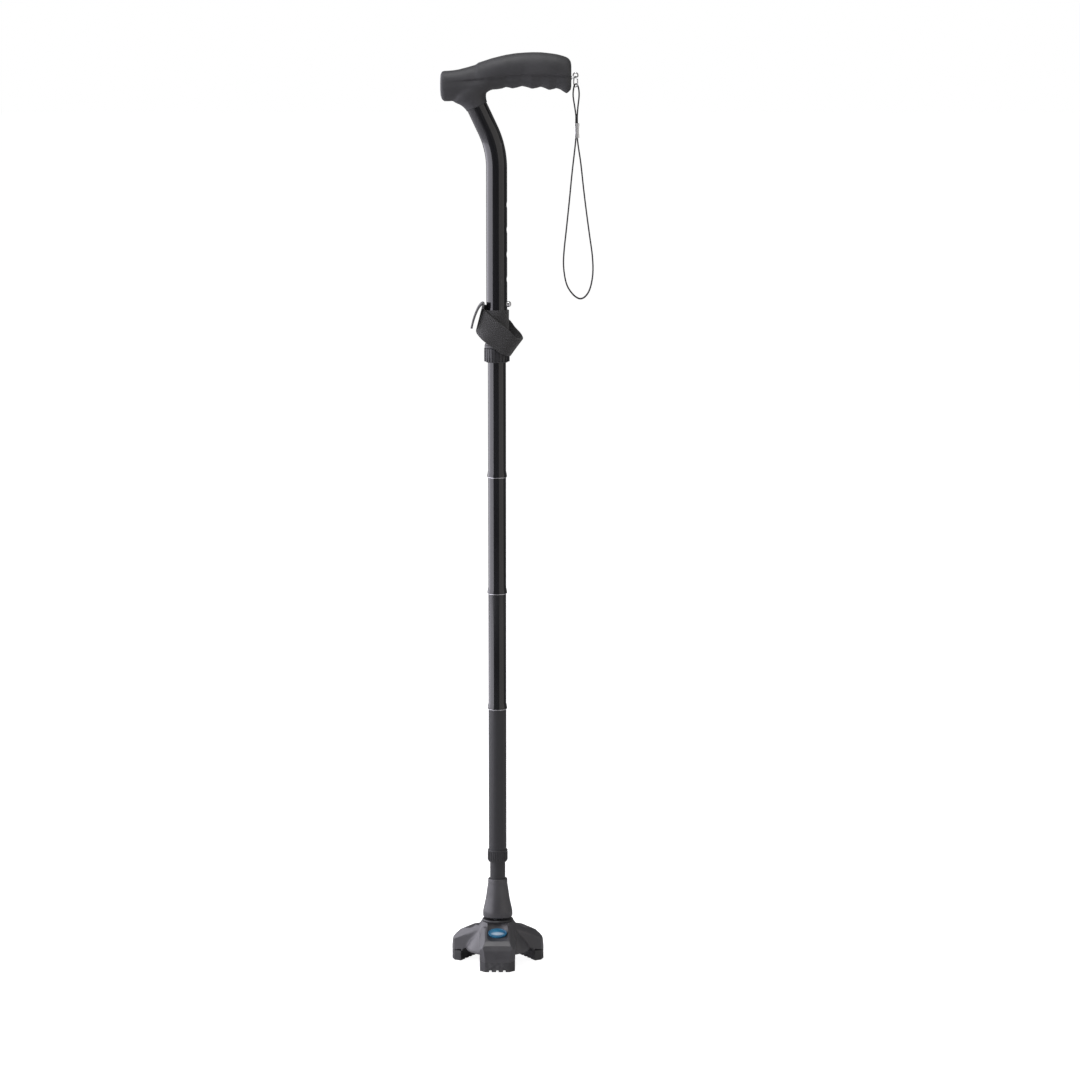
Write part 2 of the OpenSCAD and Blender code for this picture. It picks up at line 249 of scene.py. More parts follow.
def build_grain():
    """Fine noise for the height and a broad, faint mottle for the colour."""
    group, start, end = new_group("grain", [
        ("Coordinates", VECTOR, None), ("Fine scale", FLOAT, 2500.0),
        ("Broad scale", FLOAT, 40.0)], [("Height", FLOAT), ("Mottle", FLOAT)])
    fine = add(group, "TexNoise", Vector=start.outputs[0], Scale=start.outputs[1], Detail=3.0)
    broad = add(group, "TexNoise", Vector=start.outputs[0], Scale=start.outputs[2], Detail=4.0,
                Roughness=0.6)
    group.links.new(fine.outputs[0], end.inputs[0])
    group.links.new(broad.outputs[0], end.inputs[1])
    return group


GRAIN = build_grain()


# %% Edge wear
def build_wear():
    """A mask that is high on sharp outer edges, broken up by noise."""
    group, start, end = new_group("edge wear", [
        ("Coordinates", VECTOR, None), ("Low", FLOAT, 0.52), ("High", FLOAT, 0.62),
        ("Breakup scale", FLOAT, 300.0)], [("Mask", FLOAT)])
    geometry = add(group, "NewGeometry")
    spread = add(group, "MapRange", Value=geometry.outputs["Pointiness"],
                 From_Min=start.outputs[1], From_Max=start.outputs[2])
    noise = add(group, "TexNoise", Vector=start.outputs[0], Scale=start.outputs[3], Detail=5.0)
    broken = add(group, "MapRange", Value=noise.outputs[0], From_Min=0.35, From_Max=0.65)
    mask = maths(group, "MULTIPLY", spread.outputs[0], broken.outputs[0], clamp=True)
    group.links.new(mask, end.inputs[0])
    return group


WEAR = build_wear()


# %% Woven threads
def build_weave():
    """Crossing warp and weft threads from a UV map in millimetres."""
    group, start, end = new_group("weave", [
        ("UV", VECTOR, None), ("Threads across", FLOAT, 1.0), ("Threads along", FLOAT, 1.0)],
        [("Height", FLOAT), ("Shade", FLOAT)])
    parts = add(group, "SeparateXYZ", i0=start.outputs[0])
    across = maths(group, "MULTIPLY", parts.outputs[0], start.outputs[1])
    along = maths(group, "MULTIPLY", parts.outputs[1], start.outputs[2])
    cell_x = maths(group, "FLOOR", across)
    cell_y = maths(group, "FLOOR", along)
    parity = maths(group, "PINGPONG", maths(group, "ADD", cell_x, cell_y), 1.0)
    arch_x = maths(group, "SINE", maths(group, "MULTIPLY", maths(group, "FRACT", across), math.pi))
    arch_y = maths(group, "SINE", maths(group, "MULTIPLY", maths(group, "FRACT", along), math.pi))
    over = maths(group, "MULTIPLY", parity, arch_x)
    under = maths(group, "MULTIPLY", maths(group, "SUBTRACT", 1.0, parity), arch_y)
    height = maths(group, "ADD", over, under)
    noise = add(group, "TexNoise", Vector=start.outputs[0], Scale=0.8, Detail=3.0)
    # the Shade output is painted shade: darker in the dips between threads and lighter on their
    # crowns, mixed with random tone from the noise
    shade = maths(group, "ADD", maths(group, "MULTIPLY", height, 0.6),
                  maths(group, "MULTIPLY", noise.outputs[0], 0.4))
    group.links.new(height, end.inputs[0])
    group.links.new(shade, end.inputs[1])
    return group


WEAVE = build_weave()
print("shader groups:", [g.name for g in (GRAIN, WEAVE, WEAR)])


# %% [markdown]
# ## Finishes
# Gloss black tube, satin stem, soft rubbery grip, moulded collars, black rubber, bright
# steel, turned aluminium, webbing and ribbon. Each starts from one Principled shader whose
# fixed values sit on its own sockets; only what changes over the surface comes from nodes.

# %% Material helpers
def new_material(name, **values):
    """A Principled material; returns its tree, its shader and its Object coordinates."""
    material = bpy.data.materials.new(name)
    material.use_nodes = True
    tree = material.node_tree
    shader = tree.nodes["Principled BSDF"]
    for key, value in values.items():
        shader.inputs[key.replace("_", " ")].default_value = value
    coordinates = tree.nodes.new("ShaderNodeTexCoord")
    return material, tree, shader, coordinates


def use_group(tree, group, **values):
    """The group placed in a material with its own values."""
    node = tree.nodes.new("ShaderNodeGroup")
    node.node_tree = group
    for key, value in values.items():
        socket = node.inputs[key.replace("_", " ")]
        if isinstance(value, bpy.types.NodeSocket):
            tree.links.new(value, socket)
        else:
            socket.default_value = value
    return node


def ranged(tree, value, low, high, from_low=0.0, from_high=1.0):
    """A value stretched between two limits."""
    node = add(tree, "MapRange", Value=value, From_Min=from_low, From_Max=from_high,
               To_Min=low, To_Max=high)
    return node.outputs[0]


def bump(tree, shader, height, strength, distance):
    """A height that roughens the surface's normal."""
    node = add(tree, "Bump", Height=height, Strength=strength, Distance=distance)
    tree.links.new(node.outputs[0], shader.inputs["Normal"])
    return node


# %% Moulded and rubber finishes
def moulded(name, dark, light, rough_low, rough_high, grain_scale, depth, wear=0.25,
            broad=45.0, **values):
    """A moulded surface: two close shades, fine grain and slightly paler worn edges."""
    material, tree, shader, coords = new_material(name, **values)
    grain = use_group(tree, GRAIN, Coordinates=coords.outputs["Object"],
                      Fine_scale=grain_scale, Broad_scale=broad)
    worn = use_group(tree, WEAR, Coordinates=coords.outputs["Object"])
    base = mix_colour(tree, ranged(tree, grain.outputs["Mottle"], 0, 1, 0.35, 0.65),
                      (*dark, 1), (*light, 1))
    pale = tuple(min(1, c * 2.2 + 0.02) for c in light)
    worn_mask = maths(tree, "MULTIPLY", worn.outputs["Mask"], wear)
    tree.links.new(mix_colour(tree, worn_mask, base, (*pale, 1)), shader.inputs["Base Color"])
    rough = ranged(tree, grain.outputs["Mottle"], rough_low, rough_high, 0.3, 0.7)
    tree.links.new(rough, shader.inputs["Roughness"])
    bump(tree, shader, grain.outputs["Height"], 0.5, depth)
    return material


soft_grip = moulded("soft grip", (0.047, 0.047, 0.050), (0.061, 0.061, 0.065), 0.5, 0.62,
                    3200, 0.00012, Specular_IOR_Level=0.42)
black_plastic = moulded("black moulded plastic", (0.024, 0.024, 0.026), (0.033, 0.033, 0.036),
                        0.3, 0.42, 2600, 0.00006)
foot_rubber = moulded("foot rubber", (0.047, 0.046, 0.051), (0.06, 0.059, 0.065), 0.36, 0.5,
                      2200, 0.0001, Specular_IOR_Level=0.75)
tread_rubber = moulded("tread rubber", (0.04, 0.04, 0.043), (0.054, 0.054, 0.057), 0.55, 0.75,
                       1600, 0.00014, wear=0.45)
white_plastic = moulded("natural acetal", (0.6, 0.59, 0.55), (0.7, 0.69, 0.65), 0.35, 0.5,
                        1800, 0.00005)


# %% Painted tube
def painted(name, colour, rough_low, rough_high, coat):
    """Gloss paint on drawn tube: faint orange peel, soft wipe marks, dust in the gloss."""
    material, tree, shader, coords = new_material(
        name, Coat_Weight=coat, Coat_Roughness=0.06, Specular_IOR_Level=0.5)
    peel = add(tree, "TexNoise", Vector=coords.outputs["Object"], Scale=420.0, Detail=2.0)
    stretch = add(tree, "Mapping", Vector=coords.outputs["Object"], Scale=(1.0, 1.0, 0.06))
    wipes = add(tree, "TexNoise", Vector=stretch.outputs[0], Scale=260.0, Detail=5.0)
    specks = add(tree, "TexVoronoi", Vector=coords.outputs["Object"], Scale=260.0)
    speck = ranged(tree, specks.outputs["Distance"], 1.0, 0.0, 0.02, 0.05)
    rough = maths(tree, "ADD", ranged(tree, wipes.outputs[0], rough_low, rough_high, 0.35, 0.7),
                  maths(tree, "MULTIPLY", speck, 0.12))
    tree.links.new(rough, shader.inputs["Roughness"])
    worn = use_group(tree, WEAR, Coordinates=coords.outputs["Object"], Low=0.56, High=0.7)
    base = mix_colour(tree, maths(tree, "MULTIPLY", worn.outputs["Mask"], 0.5),
                      (*colour, 1), (0.32, 0.32, 0.33, 1))
    tree.links.new(base, shader.inputs["Base Color"])
    bump(tree, shader, peel.outputs[0], 0.12, 0.00004)
    return material


gloss_black = painted("gloss black paint", (0.007, 0.007, 0.009), 0.1, 0.2, 0.4)
stem_paint = painted("satin stem paint", (0.03, 0.03, 0.033), 0.34, 0.46, 0.0)


# %% Metals
def metal(name, colour, rough_low, rough_high, stretch):
    """Bare metal with fine marks drawn out along one direction."""
    material, tree, shader, coords = new_material(name, Metallic=1.0)
    drawn = add(tree, "Mapping", Vector=coords.outputs["Object"], Scale=stretch)
    marks = add(tree, "TexNoise", Vector=drawn.outputs[0], Scale=900.0, Detail=4.0)
    tint = mix_colour(tree, ranged(tree, marks.outputs[0], 0, 1, 0.3, 0.7),
                      (*[c * 0.86 for c in colour], 1), (*colour, 1))
    tree.links.new(tint, shader.inputs["Base Color"])
    tree.links.new(ranged(tree, marks.outputs[0], rough_low, rough_high, 0.3, 0.7),
                   shader.inputs["Roughness"])
    bump(tree, shader, marks.outputs[0], 0.2, 0.00003)
    return material


bright_steel = metal("bright steel", (0.8, 0.8, 0.81), 0.08, 0.18, (1, 1, 1))
spring_steel = metal("rolled spring steel", (0.5, 0.5, 0.52), 0.25, 0.4, (1, 1, 0.1))
turned_aluminium = metal("turned aluminium", (0.66, 0.66, 0.68), 0.2, 0.34, (1, 1, 12))
crimp_metal = metal("pressed crimp", (0.9, 0.9, 0.9), 0.34, 0.48, (1, 1, 0.2))


# %% Woven finishes
def woven(name, dark, light, across, along, depth, roughness=0.75, sheen=0.25):
    """Tape on a UV map measured in millimetres: warp along V, weft across U."""
    material, tree, shader, coords = new_material(
        name, Roughness=roughness, Sheen_Weight=sheen, Sheen_Roughness=0.5)
    weave = use_group(tree, WEAVE, UV=coords.outputs["UV"], Threads_across=across,
                      Threads_along=along)
    # the tape's colour follows the weave's Shade, which is painted shade in the dips between
    # threads plus random thread tone
    tint = mix_colour(tree, weave.outputs["Shade"], (*dark, 1), (*light, 1))
    tree.links.new(tint, shader.inputs["Base Color"])
    bump(tree, shader, weave.outputs["Height"], 0.8, depth)
    return material


# each tape's dark end is painted shade in the dips between threads, its light end the crowns of
# the threads
webbing = woven("woven webbing", (0.01, 0.01, 0.011), (0.062, 0.061, 0.062), 0.62, 0.8, 0.0005)
ribbon = woven("wrist ribbon", (0.006, 0.006, 0.007), (0.03, 0.03, 0.032), 2.0, 1.6, 0.00015)
elastic = woven("braided elastic", (0.45, 0.43, 0.38), (0.75, 0.73, 0.68), 2.4, 1.2, 0.0002)

# %% Hook tape and badge
def hooked():
    """Hook tape: a dark grey field of tiny moulded hooks in rows."""
    material, tree, shader, coords = new_material("hook tape", Roughness=0.7,
                                                  Sheen_Weight=0.3, Sheen_Roughness=0.6)
    rows = add(tree, "TexVoronoi", Vector=coords.outputs["UV"], Scale=1.4)
    tint = mix_colour(tree, ranged(tree, rows.outputs["Distance"], 1, 0, 0.1, 0.6),
                      (0.06, 0.06, 0.063, 1), (0.2, 0.2, 0.21, 1))
    tree.links.new(tint, shader.inputs["Base Color"])
    bump(tree, shader, rows.outputs["Distance"], 0.8, 0.0003)
    return material


hook_tape = hooked()


def enamelled():
    """Blue enamel with one plain pale lens across it and a clear gloss over it."""
    material, tree, shader, coords = new_material("blue enamel", Coat_Weight=0.7,
                                                  Coat_Roughness=0.08)
    cloud = use_group(tree, GRAIN, Coordinates=coords.outputs["Object"], Broad_scale=120.0)
    tint = mix_colour(tree, ranged(tree, cloud.outputs["Mottle"], 0, 1, 0.35, 0.65),
                      (0.008, 0.09, 0.2, 1), (0.022, 0.2, 0.35, 1))
    lens = add(tree, "Mapping", {"vector_type": "TEXTURE"}, Vector=coords.outputs["Object"],
               Location=(0, 0, 0.0362), Scale=(0.0078, 1.0, 0.0013))
    inside = add(tree, "TexGradient", {"gradient_type": "SPHERICAL"}, Vector=lens.outputs[0])
    tint = mix_colour(tree, ranged(tree, inside.outputs[1], 0, 0.75, 0.0, 0.45), tint,
                      (0.5, 0.6, 0.68, 1))
    tree.links.new(tint, shader.inputs["Base Color"])
    tree.links.new(ranged(tree, cloud.outputs["Height"], 0.22, 0.34), shader.inputs["Roughness"])
    return material


badge_blue = enamelled()
print("finishes:", len(bpy.data.materials))


# %% [markdown]
# ## Helpers for making pieces
# Most of a cane is turned on a lathe, so one helper spins a profile round the Z axis. A
# profile is a closed chain of radius and height in millimetres. Rounded edges come from
# a bevel on the finished mesh, because a real edge always catches a thin line of light.

# %% Finishing a mesh
WELD = 1e-7
# a hair off the axis, in millimetres, so that a spun profile has no faces without area
ON_AXIS = 0.01


def finish_piece(bm, name, material, body, replaced=(), smooth=True):
    """Turns a bmesh into an object that rides on a body and stands for CAD nodes."""
    bmesh.ops.remove_doubles(bm, verts=bm.verts, dist=WELD)
    bmesh.ops.recalc_face_normals(bm, faces=bm.faces)
    mesh = bpy.data.meshes.new(name)
    bm.to_mesh(mesh)
    bm.free()
    for polygon in mesh.polygons:
        polygon.use_smooth = smooth
    mesh.materials.append(material)
    piece = bpy.data.objects.new(name, mesh)
    scene.collection.objects.link(piece)
    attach(piece, body)
    if replaced:
        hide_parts(*replaced)
    return piece


def soften(piece, width, segments=2, angle=32):
    """A bevel modifier on every edge sharper than the angle."""
    bevel = piece.modifiers.new("soft edges", "BEVEL")
    bevel.width = width * MM
    bevel.segments = segments
    bevel.limit_method = "ANGLE"
    bevel.angle_limit = math.radians(angle)
    bevel.harden_normals = True
    return piece


def add_wall(piece, thickness, offset):
    """A solidify modifier that gives a skin its wall, inwards (-1) or outwards (1)."""
    wall = piece.modifiers.new("wall", "SOLIDIFY")
    wall.thickness = thickness * MM
    wall.offset = offset
    return piece


def wire_loop(bm, points):
    """A closed chain of edges through the points."""
    verts = [bm.verts.new(Vector(p) * MM) for p in points]
    edges = [bm.edges.new((a, b)) for a, b in zip(verts, [*verts[1:], verts[0]])]
    return verts, edges


def verts_in(geometry):
    """The vertices among mixed mesh elements."""
    return [item for item in geometry if isinstance(item, bmesh.types.BMVert)]


def edges_of(verts):
    """Every edge that touches the vertices."""
    return list({e for v in verts for e in v.link_edges})


def everything(bm):
    """All the elements of a bmesh, as its operators want them."""
    return [*bm.verts, *bm.edges, *bm.faces]


def prism(bm, outline, move):
    """A flat closed outline, filled in and pushed out into a solid."""
    verts, _ = wire_loop(bm, outline)
    face = bmesh.ops.contextual_create(bm, geom=verts)["faces"][0]
    made = bmesh.ops.extrude_face_region(bm, geom=[face])["geom"]
    bmesh.ops.translate(bm, verts=verts_in(made), vec=move)


def spin_profile(bm, profile, steps=72):
    """A closed radius-height profile spun once round Z."""
    verts, edges = wire_loop(bm, [(r, 0, z) for r, z in profile])
    bmesh.ops.spin(bm, geom=[*verts, *edges], cent=(0, 0, 0), axis=(0, 0, 1),
                   angle=math.tau, steps=steps, use_merge=True, use_duplicate=False)
    bmesh.ops.remove_doubles(bm, verts=bm.verts, dist=WELD)


def turned(name, profile, material, body, replaced, bevel=0.25, steps=72):
    """A lathe-turned piece with softened edges."""
    bm = bmesh.new()
    spin_profile(bm, profile, steps)
    piece = finish_piece(bm, name, material, body, replaced)
    return soften(piece, bevel) if bevel else piece


def node_span(node):
    """Lowest and highest Z of a CAD node, in millimetres."""
    low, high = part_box(node)
    return low.z / MM, high.z / MM


def node_radius(node):
    """Largest radius from the shaft's axis along Y, in millimetres."""
    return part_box(node)[1].y / MM


# %% [markdown]
# ## The shaft
# The bent tube is a ring of vertices pulled straight up, spun round the bend, and pulled on
# along the lean. Solidify gives it a wall, and a boolean drills the adjustment holes. The
# four straight tubes are profiles with a wall, spun on the lathe; the upper three have a belled
# end.

# %% Bent upper tube
TUBE_WALL = 1.2
LEAN = math.radians(25.3)
BEND_Z = 850.7
BEND_RADIUS = 90
NECK_DIRECTION = Vector((-math.sin(LEAN), 0, math.cos(LEAN)))
BEND_POINT = Vector((0, 0, BEND_Z))
NECK_REACH = 62
HOLE_PITCH = 25.4
HOLE_COUNT = 5
HOLE_RADIUS = 3.5
BUTTON_HOLE_RADIUS = 3.15

upper_radius = node_radius("upper_tube")
tube_foot = node_span("upper_tube")[0]
button_z = sum(node_span("snap_button")) / 2
bend_tangent = BEND_RADIUS * math.tan(LEAN / 2)
bend_start = BEND_Z - bend_tangent


def apply_modifiers(piece):
    """Replaces a piece's mesh by what its modifiers make of it."""
    graph = bpy.context.evaluated_depsgraph_get()
    made = bpy.data.meshes.new_from_object(piece.evaluated_get(graph))
    piece.modifiers.clear()
    piece.data = made
    return piece


def cut_with(piece, cutter):
    """Subtracts one object's shape from a piece and removes the cutter."""
    cut = piece.modifiers.new("cut", "BOOLEAN")
    cut.operation = "DIFFERENCE"
    cut.solver = "EXACT"
    cut.object = cutter
    bpy.context.view_layer.update()
    apply_modifiers(piece)
    bpy.data.objects.remove(cutter)
    return piece


def shade_smooth(piece):
    """Smooth shading again after a boolean or a remesh."""
    for polygon in piece.data.polygons:
        polygon.use_smooth = True


def loose_object(bm, name):
    """A bmesh as a plain object that is only used while modelling."""
    mesh = bpy.data.meshes.new(name)
    bm.to_mesh(mesh)
    bm.free()
    item = bpy.data.objects.new(name, mesh)
    scene.collection.objects.link(item)
    return item


def pull(bm, edges, move):
    """Extrudes an edge loop and moves the new loop."""
    made = bmesh.ops.extrude_edge_only(bm, edges=edges)["geom"]
    verts = verts_in(made)
    bmesh.ops.translate(bm, verts=verts, vec=move)
    return [item for item in made if isinstance(item, bmesh.types.BMEdge)
            and all(v in verts for v in item.verts)]


def next_ring(bm, edges, ring, places):
    """Extrudes a ring of edges and puts each new vertex at its own place."""
    edges = pull(bm, edges, (0, 0, 0))
    fresh = {v for e in edges for v in e.verts}
    above = {e.other_vert(v): v for v in fresh for e in v.link_edges
             if e.other_vert(v) not in fresh}
    ring = [above[v] for v in ring]
    for vert, place in zip(ring, places):
        vert.co = place
    return edges, ring


def add_drill(bm, radius, height):
    """A short rod along X, through the right side of a tube, to cut a hole with."""
    place = Matrix.Translation((10 * MM, 0, height * MM))
    bmesh.ops.create_cone(bm, cap_ends=True, segments=48, radius1=radius * MM,
                          radius2=radius * MM, depth=12 * MM,
                          matrix=place @ Matrix.Rotation(math.pi / 2, 4, "Y"))


bm = bmesh.new()
ring = bmesh.ops.create_circle(bm, segments=96, radius=upper_radius * MM,
                               matrix=Matrix.Translation((0, 0, tube_foot * MM)))["verts"]
loop = pull(bm, edges_of(ring), Vector((0, 0, (bend_start - tube_foot) * MM)))
spun = bmesh.ops.spin(bm, geom=[*loop, *{v for e in loop for v in e.verts}],
                      cent=(-BEND_RADIUS * MM, 0, bend_start * MM), axis=(0, -1, 0),
                      angle=LEAN, steps=16, use_merge=False, use_duplicate=False)
loop = [item for item in spun["geom_last"] if isinstance(item, bmesh.types.BMEdge)]
pull(bm, loop, NECK_DIRECTION * (NECK_REACH - bend_tangent) * MM)
upper_tube = finish_piece(bm, "upper_tube_skin", gloss_black, "upper",
                          ["upper_tube"])
apply_modifiers(add_wall(upper_tube, TUBE_WALL, -1))

bm = bmesh.new()
for index in range(HOLE_COUNT):
    add_drill(bm, HOLE_RADIUS, button_z + HOLE_PITCH * index)
cut_with(upper_tube, loose_object(bm, "drill"))
shade_smooth(upper_tube)
soften(upper_tube, 0.18, angle=50)
print("upper tube from", round(tube_foot), "mm, holes from", round(button_z), "mm")

# %% Straight tubes and fold plugs
shaft_radius = node_radius("shaft_section_4")
bell_radius = node_radius("shaft_section_2")
BELL_HEIGHT = 6


def shaft_tube(name, body, belled=True):
    """One straight tube, with its lower end opened into a bell where a plug enters it."""
    low, high = node_span(name)
    inner = shaft_radius - TUBE_WALL
    foot = [(shaft_radius, low), (inner, low)]
    if belled:
        foot = [(shaft_radius, low + BELL_HEIGHT), (shaft_radius + 0.35, low + 4.4),
                (bell_radius - 0.1, low + 1.4), (bell_radius, low + 0.8), (bell_radius, low),
                (bell_radius - TUBE_WALL, low), (inner, low + BELL_HEIGHT)]
    profile = [(inner, high), (shaft_radius, high), *foot]
    paint = gloss_black if belled else stem_paint
    return turned(name + "_skin", profile, paint, body, [name], 0.2, 96)


sections = [shaft_tube("shaft_section_" + str(n), "section_" + str(n), n < 4)
            for n in range(1, 5)]
bm = bmesh.new()
add_drill(bm, BUTTON_HOLE_RADIUS, button_z)
section_bevel = sections[0].modifiers["soft edges"]
section_bevel.show_viewport = section_bevel.show_render = False
cut_with(sections[0], loose_object(bm, "drill"))
shade_smooth(sections[0])
soften(sections[0], 0.15, angle=50)

for n in (2, 3, 4):
    node = "fold_plug_" + str(n)
    low, high = node_span(node)
    flange_top = high - 15.1
    turned(node + "_turned", [
        (2.8, high), (5.4, high), (6.0, high - 0.3), (6.2, high - 0.9), (8, flange_top + 0.1),
        (9.3, flange_top), (9.55, flange_top - 0.25), (9.55, flange_top - 0.8),
        (9.3, flange_top - 1), (8.1, flange_top - 1), (8.1, low), (2.8, low)],
        turned_aluminium, "section_" + str(n), [node], 0.12)
print("tubes:", len(sections))

# %% Elastic cord
# The cord runs through all four tubes. Where a fold opens, the stretch at the nose of the
# plug turns round the fold; here the cord is straight, with close rings at each nose. Half a
# turn looks the same both ways, so the third fold, which swings the other way, names its
# bodies in the other order.
ELASTIC_RADIUS = 2


def elastic_cord(name, high, low, nose, above, below, replaced, swings_forward):
    """A straight cord with close rings at the plug's nose, where a fold opens."""
    bm = bmesh.new()
    ring = bmesh.ops.create_circle(bm, segments=16, radius=ELASTIC_RADIUS * MM,
                                   matrix=Matrix.Translation((0, 0, high * MM)))["verts"]
    loop = edges_of(ring)
    bmesh.ops.contextual_create(bm, geom=ring)
    heights = [nose + 1 - 2 * k / 40 for k in range(41)]
    for lower, upper in zip([*heights, low], [high, *heights]):
        loop = pull(bm, loop, Vector((0, 0, (lower - upper) * MM)))
    bmesh.ops.contextual_create(bm, geom=list({v for e in loop for v in e.verts}))
    uv = bm.loops.layers.uv.new("UVMap")
    for face in bm.faces:
        for corner in face.loops:
            co = corner.vert.co / MM
            turn = math.atan2(co.y, co.x) / math.tau
            corner[uv].uv = (turn * 12, co.z)
    piece = finish_piece(bm, name, elastic, above, replaced)
    piece.parent = None
    start, end = Vector((0, 0, (nose + 1) * MM)), Vector((0, 0, (nose - 1) * MM))
    if not swings_forward:
        above, below, start, end = below, above, end, start
    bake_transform(piece)
    return piece


cord_ends = [node_span("elastic_cord_" + str(n)) for n in range(1, 5)]
noses = [node_span("fold_plug_" + str(n))[1] for n in (2, 3, 4)]
mids = [cord_ends[0][1], *[sum(cord_ends[k]) / 2 for k in (1, 2)], cord_ends[3][0]]
for n, (nose, high, low) in enumerate(zip(noses, mids, mids[1:]), 1):
    stands_for = [["elastic_cord_1", "elastic_cord_2"], ["elastic_cord_3"],
                  ["elastic_cord_4"]][n - 1]
    elastic_cord("elastic_across_fold_" + str(n), high, low, nose, "section_" + str(n),
                 "section_" + str(n + 1), stands_for, n < 3)
print("elastic cord from", round(mids[0]), "to", round(mids[-1]), "mm")


# %% [markdown]
# ## Collars with grip ribs
# The lock nut and the lower ring are turned too, and their ribs are raised from the lathe
# mesh: every second pair of faces round the barrel is extruded outwards.

# %% Ribbed collars
def ribbed(name, profile, barrel, lift, count, material, body, replaced):
    """A turned collar whose barrel, between two heights, is raised into upright ribs."""
    bm = bmesh.new()
    spin_profile(bm, profile, count * 4)
    bmesh.ops.recalc_face_normals(bm, faces=bm.faces)
    chosen = []
    for face in bm.faces:
        middle = face.calc_center_median() / MM
        outward = Vector((middle.x, middle.y, 0)).normalized()
        if barrel[0] < middle.z < barrel[1] and face.normal.dot(outward) > 0.9:
            turn = math.atan2(middle.y, middle.x) / math.tau * count * 4
            if math.floor(turn + 0.01) % 4 < 2:
                chosen.append(face)
    raised = bmesh.ops.extrude_face_region(bm, geom=chosen)["geom"]
    verts = verts_in(raised)
    bmesh.ops.delete(bm, geom=chosen, context="FACES_ONLY")
    for vert in verts:
        flat = Vector((vert.co.x, vert.co.y, 0))
        vert.co += flat.normalized() * lift * MM
    piece = finish_piece(bm, name, material, body, replaced)
    return soften(piece, 0.16, 2, 40)


nut_low, nut_high = node_span("upper_lock_nut")
nut_r = 12.65
ribbed("lock_nut_ribbed", [
    (12.28, nut_high), (nut_r - 0.4, nut_high), (nut_r, nut_high - 0.6),
    (nut_r, nut_low + 2.6), (nut_r - 1.1, nut_low + 0.7), (nut_r - 1.7, nut_low),
    (9.7, nut_low), (9.7, nut_low + 1), (12.28, nut_low + 1)],
    (nut_low + 3, nut_high - 1), 0.85, 24, black_plastic, "lock_nut", ["upper_lock_nut"])

low, high = node_span("threaded_bushing")
turned("threaded_bushing_turned", [
    (10.76, high), (11.8, high), (12.2, high - 0.4), (12.2, high - 1.4), (12.7, high - 1.8),
    (12.7, high - 4.4), (12.2, high - 4.9), (12.0, high - 6), (12.2, high - 7),
    (12.0, high - 8), (12.2, high - 9), (12.0, high - 10), (12.2, high - 11),
    (12.0, high - 12), (12.2, high - 13), (12.2, low), (10.76, low)],
    black_plastic, "upper", ["threaded_bushing"], 0.1)

low, high = node_span("lower_lock_ring")
ribbed("lower_ring_ribbed", [
    (9.38, high), (10.1, high), (10.42, high - 0.35), (10.42, high - 1.9),
    (10.05, high - 2.3), (10.05, low + 1.7), (9.5, low), (8.1, low), (8.1, low + 1.2),
    (9.38, low + 1.2)],
    (low + 1.9, high - 2.6), 0.5, 26, black_plastic, "lower_ring", ["lower_lock_ring"])
print("collars done")

# %% [markdown]
# ## The rubber cone, its ring and the stem
# The cone is straight at its top, flares with a slow curve and ends in a plain band. Its
# underside is hollowed to a sphere, so the foot can tilt under it without touching. A
# spline through a few radii gives the flare.

# %% Stem, cone and ring
low, high = node_span("foot_cone")
flare = catmull([Vector((r, 0, z)) for r, z in (
    (10.2, high - 5.4), (11.05, high - 10.8), (12.25, high - 19.4), (13.1, high - 23.8),
    (14.1, high - 28.6), (15, high - 32.6), (15.4, high - 34.6))], 4)
pivot = Vector(frame["joints"][[j["name"] for j in frame["joints"]].index(
    "foot_tilt_side")]["pos_m"]) / MM
SOCKET_RADIUS = 19.5
rim_angle = math.acos((low + 0.3 - pivot.z) / SOCKET_RADIUS)
socket = [(SOCKET_RADIUS * math.sin(rim_angle * k / 10),
           pivot.z + SOCKET_RADIUS * math.cos(rim_angle * k / 10)) for k in range(10, 3, -1)]
turned("foot_cone_moulded", [
    (8.02, high), (9.5, high), (10, high - 0.25), (10.2, high - 0.8),
    *[(v.x, v.z) for v in flare], (15.45, high - 35.4), (15.45, low + 0.7), (15.2, low),
    *socket, (6.6, socket[-1][1]), (6.6, 62), (8.02, 62)],
    foot_rubber, "section_4", ["foot_cone"], 0.3, 96)
low, high = node_span("stem_tube")
turned("stem_tube_skin", [(8, high), (8, low), (6.8, low), (6.8, high)], stem_paint,
       "section_4", ["stem_tube"], 0.2, 96)
low, high = node_span("retaining_ring")
turned("retaining_ring_turned", [
    (7.6, high), (14.6, high), (15.4, high - 0.1), (16.0, high - 0.7), (16.35, high - 1.3),
    (16.2, high - 1.8), (15.6, high - 2), (12.6, high - 2), (12.6, low), (7.6, low)],
    black_plastic, "foot", ["retaining_ring"], 0.15, 96)
print("cone, stem and ring done")


# %% [markdown]
# ## The foot
# The hub is a three-legged rubber casting. Each leg is a side profile pushed out to its
# width, with its long corners planed off; a skirt webs the legs together. A fine voxel
# remesh merges them into one skin, and smoothing passes soften every crease like a mould.

# %% Hub helpers
LEG_ANGLES = (-90, 30, 150)
LEG_HALF = 18.5
PANEL_HALF = 12.9
MELT_PASSES = 45


def slab(outline, width):
    """A radius-height outline made into a closed slab, centred on the XZ plane."""
    bm = bmesh.new()
    prism(bm, [(r, -width / 2, z) for r, z in outline], (0, width * MM, 0))
    bmesh.ops.recalc_face_normals(bm, faces=bm.faces)
    return bm


def plane_off(bm, point, normal):
    """Cuts everything beyond a plane away and closes the cut."""
    bmesh.ops.bisect_plane(bm, geom=everything(bm),
                           plane_co=Vector(point) * MM, plane_no=Vector(normal).normalized(),
                           clear_outer=True)
    bmesh.ops.contextual_create(bm, geom=[e for e in bm.edges if e.is_boundary])


